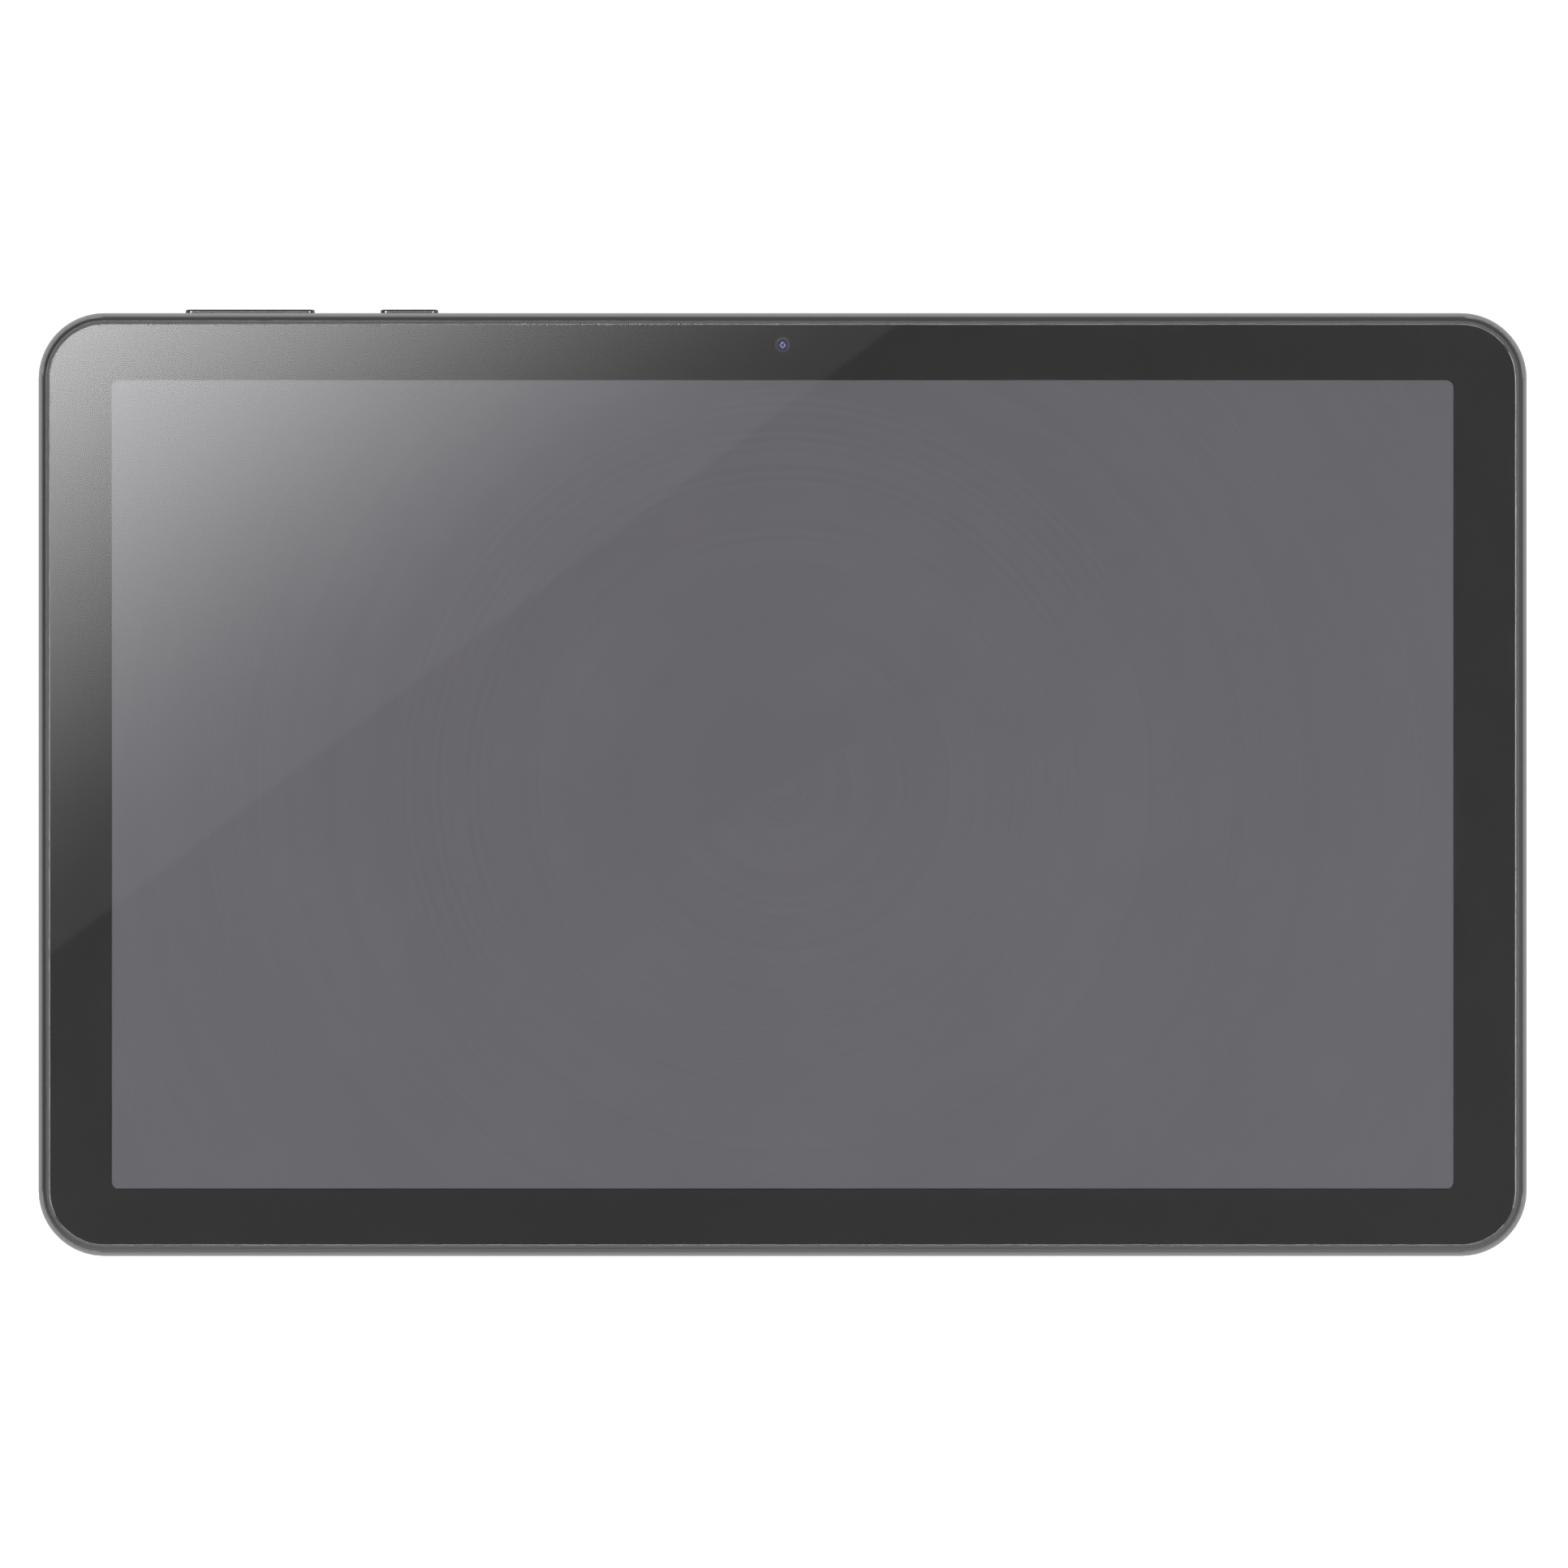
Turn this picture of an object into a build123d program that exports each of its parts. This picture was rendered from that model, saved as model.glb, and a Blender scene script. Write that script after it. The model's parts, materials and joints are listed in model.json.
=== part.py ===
from build123d import *
from math import atan, tan
import os

# A tablet computer lying on its back, in millimetres. X runs along the long side, Y towards the long
# edge that holds the front camera and the keys, and Z out through the glass. The origin is the centre
# of the back face. The aluminium case is a shallow tray. A plastic frame moulded round a metal plate
# drops into it from the front, carries the display and the glass, and has the electronics on its back.

# ---- overall sizes: the display sets them ----
display_width = 225.6        # lit area
display_height = 136.0
display_corner = 1.3         # corner radius of the lit area
border_side = 12.4           # lit area to the outside of the case, left and right
border_long = 11.35          # the same at the long edges
corner_radius = 11.1         # outside corner of the case

# ---- walls of the case ----
floor_thickness = 0.9
graphite_thickness = 0.08    # heat spreader on the inside of the back
wall_thickness = 2.0         # beside the component space
lip_thickness = 1.42         # beside the plastic frame's rim
back_edge_radius = 2.4
front_chamfer_width = 1.34   # seen from the front
front_chamfer_drop = 1.0
chamfer_blend = 2.2          # radius between the chamfer and the side

# ---- heights, from the floor up ----
component_space = 3.45       # floor to the metal plate
plate_thickness = 0.5
tray_sheet = 0.2
reflector_thickness = 0.1
guide_thickness = 0.45
film_thickness = 0.08
film_count = 3
tft_thickness = 0.25
filter_thickness = 0.25
polariser_thickness = 0.12
adhesive_thickness = 0.18
print_thickness = 0.05
glass_thickness = 0.8
layer_gap = 0.01             # between loose optical layers
glass_proud = 0.1            # glass above the plastic rim
rim_proud = 0.05             # plastic rim above the case

module_gap = 0.2             # panel to the wall of its steel tray
tray_corner = 0.6
film_corner = 0.4            # corners of the films and of the tray's inside
led_rail_width = 1.9
led_board_thickness = 0.15
led_board_inset = 3.0        # ends of the strip inside the panel's
led_count = 16
led_length = 3.2
led_height = 0.4
led_row_inset = 10.0         # first diode to the end of the panel
guide_gap = 0.1              # diodes to the light guide
filter_ledge = 1.5           # ledge of the lower glass left bare for the driver chips
polariser_inset = 0.3
polariser_ledge_gap = 0.2
adhesive_inset = 0.6
adhesive_ledge_gap = 0.5
print_gap = 0.1              # print inside the edge of the glass, and adhesive inside the print
tape_inset = 0.5             # glass tape inside the edge of the glass

# ---- plastic frame ----
rim_width = 0.4
rim_gap = 0.04               # case to rim, and rim to glass
ledge_thickness = 0.7
pocket_wall = 0.7
pocket_gap = 0.15            # display module to the frame
module_margin = 1.6          # panel beyond the lit area
latch_length = 8.0
latch_height = 0.4
latch_depth = 0.3
latch_gap = 0.05
latch_rise = 0.15            # ledge to the latches
latches_long = 6             # on each long edge
latches_short = 4
glass_tape_width = 2.6
glass_bevel = 0.15
frame_corner = 1.5           # corners of the frame's wall and of the plate in it
pocket_corner = 0.8
barrel_gap = 0.15            # camera barrel to the hole in the ledge
notch_depth = 0.6            # notch for the display's cable, beyond the frame's wall

# ---- keys, on the +Y edge ----
volume_key_length = 21.8
power_key_length = 9.8
volume_key_offset = 35.6     # case's left side to the middle of the key
power_key_offset = 62.4
key_height = 2.2
key_proud = 0.6
key_gap = 0.12               # key to the slot in the case
key_flange = 0.6             # flange beyond the slot
key_flange_thickness = 0.8
key_flange_gap = 0.35        # flange to the inside of the wall
key_edge_radius = 0.3
key_travel = 0.3
key_rib_radius = 0.3         # rib that the volume key rocks on
foot_spacing = 14.0          # the two feet of the volume key
foot_radius = 0.6
foot_length = 1.6
foot_gap = 0.2               # foot to the bore of its switch
switch_length = 4.4
switch_width = 2.6
switch_depth = 1.9
switch_setback = 0.9         # key's flange to the switch
bracket_sheet = 0.5
foot_end_gap = 0.15          # foot, pressed in, to the bottom of its bore
flange_share = 0.4           # how much of the flange stands above and below the key
key_strip_width = 2.4
key_tail_width = 4.0
key_tail_land = 4.5          # tail over the main board
bracket_overhang = 2.0       # bracket beyond the strip at each end
bracket_drop = 1.6           # bracket below the middle of the keys
bracket_gate_gap = 0.15
bracket_gate_side = 0.3
bracket_ear = 3.0
bracket_ear_gap = 0.5        # ears to the keys' flange

# ---- charging socket, on the +X edge ----
usb_mouth_width = 8.34
usb_mouth_height = 2.56
usb_shell_wall = 0.3
usb_shell_length = 7.35
usb_tongue_width = 6.69
usb_tongue_thickness = 0.7
usb_tongue_length = 4.45
usb_contact_count = 12
usb_hole_gap = 0.12
usb_gasket_gap = 0.1         # gasket to the frame's ledge
usb_recess = 0.25            # shell's mouth behind the side of the case
usb_drop = 0.15              # middle of the socket below the middle of the side
usb_back_wall = 1.0
usb_shoulder_length = 1.2
usb_shoulder_gap = 0.05
usb_contact_start = 1.2      # shoulder's root to the contacts
usb_contact_length = 2.9
usb_contact_width = 0.24
usb_contact_height = 0.05
usb_contact_pitch = 0.5
usb_gasket_depth = 0.9
usb_board_wall_gap = 0.4
usb_board_edge_gap = 0.6

# ---- card tray, on the -X edge ----
door_length = 17.0
door_height = 1.9
door_thickness = 1.1
door_gap = 0.08
door_seat = 0.8              # shoulder that stops the door
tray_width = 12.4
tray_length = 21.5
tray_thickness = 0.8
tray_offset = -0.9           # middle of the tray below the middle of the door
card_width = 11.0
card_length = 15.0
eject_hole_radius = 0.45
eject_hole_offset = 6.9      # from the middle of the door
rod_width = 1.0
rod_thickness = 0.7
eject_travel = 1.2
lever_thickness = 0.8
lever_arm = 4.0
pivot_radius = 0.6
pivot_gap = 0.05
pivot_wall = 0.6
lever_clearance = 0.6        # ejected rod and tray to the lever
lever_height = 0.6
rod_lever_gap = 0.05
tray_lift = 0.3              # tray above the main board
tray_skin = 0.1              # tray's floor under the card
tray_rim = 1.0               # tray beyond the card at its inner end
tray_window_end = 1.5        # card's ledges at the ends and the sides of the window
tray_window_side = 1.2
mouth_gap = 0.15             # tray to the top and bottom of its mouth
socket_depth = 2.6           # socket beyond the lever
socket_rail = 1.0            # rail beside the tray
socket_rod_rail = 1.6        # middle of the rod to the outside of its rail
socket_slide_gap = 0.1       # tray to the socket's floor and lid
socket_side_gap = 0.12
rod_rail_gap = 0.08
divider_end = 6.0            # rail between tray and rod stops short of the tray's end
shell_sheet = 0.15
shell_side_sheet = 0.2
card_contact_count = 8
card_contact_pitch = 1.1
card_contact_length = 1.8
card_contact_width = 0.7
card_contact_height = 0.06
card_contact_inset = 3.0     # tray's inner end to the contacts

# ---- speakers, two on each short edge ----
speaker_length = 32.0
speaker_corner_gap = 4.2     # start of the case's corner to the speaker
speaker_gap = 0.4            # clearance to the frame, the case and the ledge
grille_slots = 6
grille_slot_length = 3.0
grille_slot_height = 1.2
grille_pitch = 4.3
mesh_thickness = 0.2
mesh_margin = 0.8            # mesh beyond the slots
mesh_height = 2.4
speaker_floor_gap = 0.25
cone_wall = 1.0              # speaker box beside the well of its cone
cone_end = 6.0
cone_gap = 0.1
cone_well = 0.5
cone_thickness = 0.3

# ---- microphone, on the -Y edge ----
mic_offset = 79.4            # case's left side to the microphone
mic_slot_width = 0.42
mic_slot_height = 1.0
mic_slot_pitch = 0.6
mic_drop = 0.5               # frame's ledge down to the middle of the slots
mic_boot_width = 4.8
mic_boot_depth = 1.6
mic_boot_bore = 0.35
mic_can_width = 3.8
mic_can_depth = 1.3
mic_port_radius = 0.2
mic_port_depth = 0.6
mic_port_drop = 0.15         # port below the middle of the slots
mic_below = 1.5              # boot and can below the middle of the slots
mic_ledge_gap = 0.05

# ---- cameras ----
front_camera_plate_gap = 0.3
front_camera_wall_gap = 0.6
front_barrel_radius = 2.1
front_lens_radius = 0.8
front_window_radius = 1.35   # clear hole in the glass print
rear_camera_side = 21.2      # outside of the -X edge to the rear lens
rear_camera_inset = 14.0     # outside of the +Y edge to the rear lens
rear_camera_size = 6.5
rear_lens_radius = 1.1
rear_cover_radius = 3.0
rear_ring_width = 1.1
rear_ring_gap = 0.05
rear_ring_recess = 0.04      # ring behind the back face
rear_cover_recess = 0.1
rear_cover_depth = 0.75      # inner face of the cover
rear_cover_gap = 0.03
rear_cover_seat = 0.5        # flange that the cover sits on
rear_barrel_radius = 2.4
rear_barrel_length = 0.8
rear_lens_setback = 0.3      # barrel's mouth to the lens
rear_lens_length = 0.6
rear_lens_edge = 0.35
lens_gap = 0.05
front_lens_rim = 0.3         # lens beyond its clear radius
front_lens_drop = 0.45       # glass print down to the lens
front_lens_edge = 0.3
front_barrel_drop = 0.15     # glass print down to the barrel

# ---- aerial window in the back ----
window_side = 13.2           # outside of the short edges to the window
window_depth = 15.4
window_edge = 3.4            # outside of the +Y edge to the window
window_corner = 3.0
window_flange = 1.0
window_gap = 0.05
window_flange_height = 0.3

# ---- aerials behind the +Y edge ----
aerial_key_gap = 9.5         # keys to the first aerial
aerial_camera_gap = 9.0      # first aerial to the front camera
aerial_side = 25.0           # outside of the +X edge to the second aerial
aerial_length = 38.0
aerial_floor_gap = 0.5
film_wrap = 0.1
aerial_wall_gap = 0.3
aerial_ledge_gap = 0.4
film_end = 1.5               # carrier's ends left bare
film_inset = 0.8
film_top_gap = 1.2

# ---- boards and battery ----
board_thickness = 0.7
board_drop = 1.45            # main board below the metal plate
main_board_width = 44.0
main_board_length = 100.0
main_board_top = 2.6         # pocket's +Y edge to the board
usb_board_thickness = 0.6
usb_board_length = 28.0
usb_board_reach = 18.0       # under the display
display_flex_offset = 22.0   # board's left side to the middle of the display's cable
display_flex_width = 15.8
display_flex_land = 5.0      # cable over the main board
can_clearance = 0.25         # shield cans to the back
can_sheet = 0.15
battery_swell = 0.45         # room under the cells
battery_gap = 2.0
battery_tape = 0.1
battery_space_top = 13.5     # pocket's +Y edge to the cells
battery_space_bottom = 12.5
flex_thickness = 0.12
connector_height = 0.7
cable_radius = 0.4
screw_radius = 0.65
screw_head_radius = 1.25
screw_head_height = 0.5
boss_radius = 1.6
boss_gap = 0.05
boss_skin = 0.15             # boss bore to the plate's front
screw_hole_gap = 0.1
screw_end_gap = 0.3
screw_slot_length = 1.6
screw_slot_width = 0.36
screw_slot_depth = 0.28
head_gap = 0.05              # screw head to the case's floor
screw_edge = 8.0             # screws of the charging board to the plate's side
screw_end = 3.2
cell_side_gap = 5.0          # main board to the cells
cell_board_gap = 5.5         # cells to the charging board
cell_corner = 2.0
cell_edge = 0.9
tape_strip_width = 12.0
tape_strip_end = 6.0
tape_strip_side = 11.0       # middle of a strip to the side of its cell
graphite_side = 6.0
graphite_bottom = 4.0
guard_gap = 0.3              # cells to their guard board
guard_width = 4.3
guard_thickness = 0.6
camera_module_gap = 0.6      # rear camera to the notch in the main board
flex_side_gap = 0.3          # display's cable to its notch
flex_wall_gap = 0.25
can_side = 7.5               # main board's sides to the shield cans
can_bottom_edge = 8.0
can_top_edge = 20.0
cable_gap = 0.1
cable_bend = 1.5
camera_flex_width = 3.6
mic_flex_width = 4.0
chip_gap = 0.15              # packages to the can over them
pad_size = 16.0

# ---- what follows from them ----
case_width = display_width + 2 * border_side
case_height = display_height + 2 * border_long
half_x = case_width / 2
half_y = case_height / 2
module_x = display_width / 2 + module_margin
module_y = display_height / 2 + module_margin
tray_x = module_x + tray_sheet + module_gap
tray_y = module_y + tray_sheet + module_gap
pocket_x = tray_x + pocket_gap
pocket_y = tray_y + pocket_gap
plate_x = pocket_x + pocket_wall
plate_y = pocket_y + pocket_wall
inner_x = half_x - wall_thickness
inner_y = half_y - wall_thickness

z_plate = floor_thickness + component_space
z_plate_top = z_plate + plate_thickness
z_tray = z_plate_top
z_reflector = z_tray + tray_sheet + layer_gap
z_guide = z_reflector + reflector_thickness + layer_gap
z_films = z_guide + guide_thickness + layer_gap
film_pitch = film_thickness + layer_gap
z_tft = z_films + film_count * film_pitch
z_filter = z_tft + tft_thickness
z_polariser = z_filter + filter_thickness
z_adhesive = z_polariser + polariser_thickness
z_print = z_adhesive + adhesive_thickness
z_glass = z_print + print_thickness + 2 * layer_gap
z_top = z_glass + glass_thickness
z_rim = z_top - glass_proud
z_case = z_rim - rim_proud
z_ledge_top = z_print - adhesive_thickness
z_ledge = z_ledge_top - ledge_thickness
z_chamfer = z_case - front_chamfer_drop
blend_turn = atan(front_chamfer_width / front_chamfer_drop)
side_height = (back_edge_radius + z_chamfer - chamfer_blend * tan(blend_turn / 2)) / 2

rim_outer = lip_thickness + rim_gap
glass_inset = rim_outer + rim_width + rim_gap

key_inner = inner_y - key_flange_gap - key_flange_thickness
foot_end = key_inner - foot_length
switch_front = key_inner - switch_setback
switch_back = switch_front - switch_depth
volume_key_x = volume_key_offset - half_x
power_key_x = power_key_offset - half_x
key_span_left = volume_key_x - volume_key_length / 2
key_span_right = power_key_x + power_key_length / 2

board_z = z_plate - board_drop - board_thickness
board_top_z = board_z + board_thickness
board_left = -tray_x
board_right = board_left + main_board_width
board_top = pocket_y - main_board_top
board_bottom = board_top - main_board_length
connector_z = board_top_z + connector_height
tray_z = board_top_z + tray_lift
tray_mid_z = tray_z + tray_thickness / 2

usb_height = side_height - usb_drop
usb_half_outer = usb_mouth_height / 2 + usb_shell_wall
usb_board_z = usb_height - usb_half_outer - usb_board_thickness
usb_board_left = plate_x - usb_board_reach
usb_board_right = inner_x - usb_board_wall_gap
usb_back = half_x - usb_recess - usb_shell_length

cell_left = board_right + cell_side_gap
cell_right = usb_board_left - cell_board_gap
cell_width = (cell_right - cell_left - battery_gap) / 2
cell_top = pocket_y - battery_space_top
cell_bottom = -pocket_y + battery_space_bottom
cell_length = cell_top - cell_bottom
cell_z = floor_thickness + battery_swell
cell_thickness = z_plate - battery_tape - cell_z

mic_x = mic_offset - half_x
rear_x = rear_camera_side - half_x
rear_y = half_y - rear_camera_inset
mic_height = z_ledge - mic_drop
front_camera_size = inner_y - plate_y - front_camera_plate_gap - front_camera_wall_gap
front_y = plate_y + front_camera_plate_gap + front_camera_size / 2
speaker_y = half_y - corner_radius - speaker_corner_gap - speaker_length / 2
speaker_width = inner_x - mesh_thickness - plate_x - 2 * speaker_gap
speaker_x = plate_x + speaker_gap + speaker_width / 2
speaker_z = floor_thickness + speaker_floor_gap
speaker_top = z_ledge - speaker_gap
window_width = case_width - 2 * window_side
can_bottom = floor_thickness + can_clearance


# ---- shapes used all over ----
def block(x, y, z):
    """A box from three (low, high) pairs."""
    size = [high - low for low, high in (x, y, z)]
    middle = [(high + low) / 2 for low, high in (x, y, z)]
    return Pos(*middle) * Box(*size)


def plate(half_width, half_length, radius, bottom, top):
    """A rounded plate round the Z axis."""
    outline = RectangleRounded(2 * half_width, 2 * half_length, radius)
    return extrude(Pos(0, 0, bottom) * outline, top - bottom)


def inset_plate(inset, bottom, top):
    """The case's outline taken in by inset."""
    return plate(half_x - inset, half_y - inset, corner_radius - inset, bottom, top)


def disc(x, y, radius, bottom, top):
    return extrude(Pos(x, y, bottom) * Circle(radius), top - bottom)


def pill_x(length, height, x_from, x_to, y, z):
    """A pill, long in Y, that runs along X."""
    placed = Plane(origin=(x_from, y, z), x_dir=(0, 1, 0), z_dir=(1, 0, 0))
    return extrude(placed * SlotOverall(length, height), x_to - x_from)


def pill_y(length, height, y_from, y_to, x, z):
    """A pill, long in X, that runs along Y."""
    placed = Plane(origin=(x, y_from, z), x_dir=(-1, 0, 0), z_dir=(0, 1, 0))
    return extrude(placed * SlotOverall(length, height), y_to - y_from)


def rod_x(radius, x_from, x_to, y, z):
    placed = Plane(origin=(x_from, y, z), x_dir=(0, 1, 0), z_dir=(1, 0, 0))
    return extrude(placed * Circle(radius), x_to - x_from)


def rod_y(radius, y_from, y_to, x, z):
    placed = Plane(origin=(x, y_from, z), x_dir=(-1, 0, 0), z_dir=(0, 1, 0))
    return extrude(placed * Circle(radius), y_to - y_from)


def spread(count, pitch):
    """Centred places along a line."""
    return [(i - (count - 1) / 2) * pitch for i in range(count)]


def group(shapes):
    """Separate solids in one node."""
    return Compound(children=[s for shape in shapes for s in shape.solids()])


# ---- places that more than one piece needs ----
def latch_places():
    """(x, y, along X?) of each snap latch on the frame's outside."""
    places = []
    long_pitch = (case_width - 2 * corner_radius) / latches_long
    short_pitch = (case_height - 2 * corner_radius) / latches_short
    for side in (-1, 1):
        places += [(x, side * half_y, True) for x in spread(latches_long, long_pitch)]
        places += [(side * half_x, y, False) for y in spread(latches_short, short_pitch)]
    return places


def latch_blocks(depth, grow):
    """The latches, or with grow the pockets they snap into. depth is how far they reach past the rim."""
    latch_z = z_ledge + latch_rise
    height = (latch_z - grow, latch_z + latch_height + grow)
    half = latch_length / 2 + grow
    made = []
    for x, y, along_x in latch_places():
        sign_x = 1 if x > 0 else -1
        sign_y = 1 if y > 0 else -1
        if along_x:
            face = y - sign_y * rim_outer
            span = sorted((face - sign_y * 0.1, face + sign_y * depth))
            made.append(block((x - half, x + half), span, height))
        else:
            face = x - sign_x * rim_outer
            span = sorted((face - sign_x * 0.1, face + sign_x * depth))
            made.append(block(span, (y - half, y + half), height))
    return made


def main_screws():
    inset = 3.2
    left, right = board_left + inset, board_right - inset
    low, high = board_bottom + inset, board_top - inset
    middle = (low + high) / 2
    return [(left, low), (right, low), (left, middle + 8), (right, middle), (right, high - 22)]


def usb_screws():
    return [(plate_x - screw_edge, side * (usb_board_length / 2 - screw_end)) for side in (-1, 1)]


def speaker_places():
    return [(sx * speaker_x, sy * speaker_y, sx) for sx in (-1, 1) for sy in (-1, 1)]


def aerial_places():
    """(low, high) along X of the two aerials in the +Y bay."""
    first = (key_span_right + aerial_key_gap, -front_camera_size / 2 - aerial_camera_gap)
    right = half_x - aerial_side
    return [first, (right - aerial_length, right)]


# ---- case and back ----
def rear_case():
    shell = inset_plate(0, 0, z_case)
    front = shell.faces().sort_by(Axis.Z)[-1]
    shell = chamfer(front.edges(), front_chamfer_width, front_chamfer_drop, reference=front)
    side = [e for e in shell.edges() if abs(e.center().Z - z_chamfer) < 0.01]
    shell = fillet(side, chamfer_blend)
    shell = fillet(shell.edges().group_by(Axis.Z)[0], back_edge_radius)
    shell -= inset_plate(wall_thickness, floor_thickness, z_case + 1)
    shell -= inset_plate(lip_thickness, z_ledge - 0.02, z_case + 1)
    through = half_y + 1
    for x, length in ((volume_key_x, volume_key_length), (power_key_x, power_key_length)):
        shell -= pill_y(length + 2 * key_gap, key_height + 2 * key_gap,
                        inner_y - 0.5, through, x, side_height)
    shell -= pill_x(usb_mouth_width + 2 * (usb_shell_wall + usb_hole_gap),
                    2 * (usb_half_outer + usb_hole_gap), inner_x - 0.5, half_x + 1, 0, usb_height)
    shell -= pill_x(door_length + 2 * door_gap, door_height + 2 * door_gap,
                    -half_x - 1, -half_x + door_thickness + door_gap, 0, tray_mid_z)
    shell -= pill_x(door_length - 2 * door_seat, tray_thickness + 2 * mouth_gap,
                    -half_x, -inner_x + 0.5, 0, tray_mid_z)
    for x, y, sign in speaker_places():
        for step in spread(grille_slots, grille_pitch):
            ends = sorted((sign * (inner_x - 0.5), sign * (half_x + 1)))
            shell -= pill_x(grille_slot_length, grille_slot_height, *ends, y + step, side_height)
    for step in spread(2, mic_slot_pitch):
        slot = pill_y(mic_slot_height, mic_slot_width, -through, -inner_y + 0.5, 0, 0)
        shell -= Pos(mic_x + step, 0, mic_height) * Rot(0, 90, 0) * slot
    shell -= window_outline(0, -1, floor_thickness + 1)
    head_bottom = usb_board_z - screw_head_height - head_gap
    for x, y in usb_screws():
        shell -= disc(x, y, screw_head_radius + head_gap, head_bottom, z_plate)
    for pocket in latch_blocks(latch_depth + latch_gap, latch_gap):
        shell -= pocket
    return shell


def window_outline(inset, bottom, top):
    outline = RectangleRounded(window_width - 2 * inset, window_depth - 2 * inset, window_corner)
    y = half_y - window_edge - window_depth / 2
    return extrude(Pos(0, y, bottom) * outline, top - bottom)


def antenna_window():
    body = window_outline(window_gap, 0, floor_thickness)
    body += window_outline(-window_flange, floor_thickness, floor_thickness + window_flange_height)
    body = body & inset_plate(wall_thickness + rear_ring_gap + window_gap, -1, z_plate)
    body -= disc(rear_x, rear_y, rear_cover_radius + rear_ring_width + rear_ring_gap, -1, z_plate)
    return body


def graphite_sheet():
    left, right = board_left + graphite_side, cell_right - graphite_side
    return block((left, right), (cell_bottom + graphite_bottom, cell_top - graphite_side),
                 (floor_thickness, floor_thickness + graphite_thickness))


# ---- frame that carries the display ----
def bezel_frame():
    ring = inset_plate(rim_outer, z_ledge, z_rim)
    ring -= inset_plate(rim_outer + rim_width, z_ledge_top, z_rim + 1)
    wall = plate(plate_x, plate_y, frame_corner, z_plate_top, z_ledge)
    pocket = plate(pocket_x, pocket_y, pocket_corner, z_plate_top - 1, z_rim + 1)
    frame = ring + wall - pocket
    for latch in latch_blocks(latch_depth, 0):
        frame += latch
    frame -= disc(0, front_y, front_barrel_radius + barrel_gap, z_ledge - 1, z_rim + 1)
    slot_x = display_flex_span()
    frame -= block(slot_x, (-plate_y - notch_depth, -pocket_y + pocket_gap), (z_plate, z_rim + 1))
    return frame


def midplate():
    sheet = plate(plate_x, plate_y, frame_corner, z_plate, z_plate_top)
    low, high = display_flex_span()
    sheet -= block((low, high), (-plate_y - 1, -pocket_y + pocket_gap), (z_plate - 1, z_plate_top + 1))
    for x, y in main_screws():
        sheet += disc(x, y, boss_radius, board_top_z, z_plate)
        sheet -= disc(x, y, screw_radius + boss_gap, board_top_z - 1, z_plate_top - boss_skin)
    for x, y in usb_screws():
        sheet += disc(x, y, boss_radius, usb_board_z + usb_board_thickness, z_plate)
        sheet -= disc(x, y, screw_radius + boss_gap, usb_board_z, z_plate_top - boss_skin)
    return sheet


def glass_ring():
    z = (z_ledge_top, z_ledge_top + adhesive_thickness)
    outer = glass_inset + tape_inset
    ring = inset_plate(outer, *z) - inset_plate(outer + glass_tape_width, z[0] - 1, z[1] + 1)
    return ring - disc(0, front_y, front_barrel_radius + barrel_gap, z[0] - 1, z[1] + 1)


# ---- display ----
def display_flex_span():
    """(low, high) in X of the notch that the cable passes through."""
    middle = board_left + display_flex_offset
    half = display_flex_width / 2 + flex_side_gap
    return (middle - half, middle + half)


def backlight_tray():
    tray = plate(tray_x, tray_y, tray_corner, z_tray, z_tft - layer_gap)
    return tray - plate(tray_x - tray_sheet, tray_y - tray_sheet, film_corner,
                        z_tray + tray_sheet, z_top)


def led_rail_y():
    """(low, high) in Y of the strip along the -Y edge of the light guide."""
    return (-module_y, -module_y + led_rail_width)


def light_guide():
    low = led_rail_y()[1] + guide_gap
    return block((-module_x, module_x), (low, module_y), (z_guide, z_guide + guide_thickness))


def led_strip():
    low, high = led_rail_y()
    half = module_x - led_board_inset
    back = low + led_board_thickness
    board = block((-half, half), (low, back), (z_guide, z_guide + guide_thickness))
    pitch = 2 * (module_x - led_row_inset) / (led_count - 1)
    diodes = [block((x - led_length / 2, x + led_length / 2), (back, high),
                    (z_guide, z_guide + led_height)) for x in spread(led_count, pitch)]
    return group([board, *diodes])


def backlight_sheets():
    """White reflector under the guide, then diffuser and prism films above it."""
    films = [plate(module_x, module_y, film_corner, z_reflector, z_reflector + reflector_thickness)]
    for i in range(film_count):
        bottom = z_films + i * film_pitch
        films.append(plate(module_x, module_y, film_corner, bottom, bottom + film_thickness))
    return group(films)


def tft_glass():
    return block((-module_x, module_x), (-module_y, module_y), (z_tft, z_tft + tft_thickness))


def filter_glass():
    """Shorter than the glass below it, which leaves a ledge for the driver chips."""
    return block((-module_x, module_x), (-module_y + filter_ledge, module_y),
                 (z_filter, z_filter + filter_thickness))


def front_polariser():
    half = module_x - polariser_inset
    low = -module_y + filter_ledge + polariser_ledge_gap
    return block((-half, half), (low, module_y - polariser_inset),
                 (z_polariser, z_polariser + polariser_thickness))


def optical_adhesive():
    half = module_x - adhesive_inset
    low = -module_y + filter_ledge + adhesive_ledge_gap
    lower = block((-half, half), (low, module_y - adhesive_inset),
                  (z_adhesive, z_adhesive + adhesive_thickness - layer_gap))
    window = lit_area(-print_gap, z_adhesive, z_glass - layer_gap)
    return lower + window


def lit_area(grow, bottom, top):
    return plate(display_width / 2 + grow, display_height / 2 + grow, display_corner + grow,
                 bottom, top)


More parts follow.
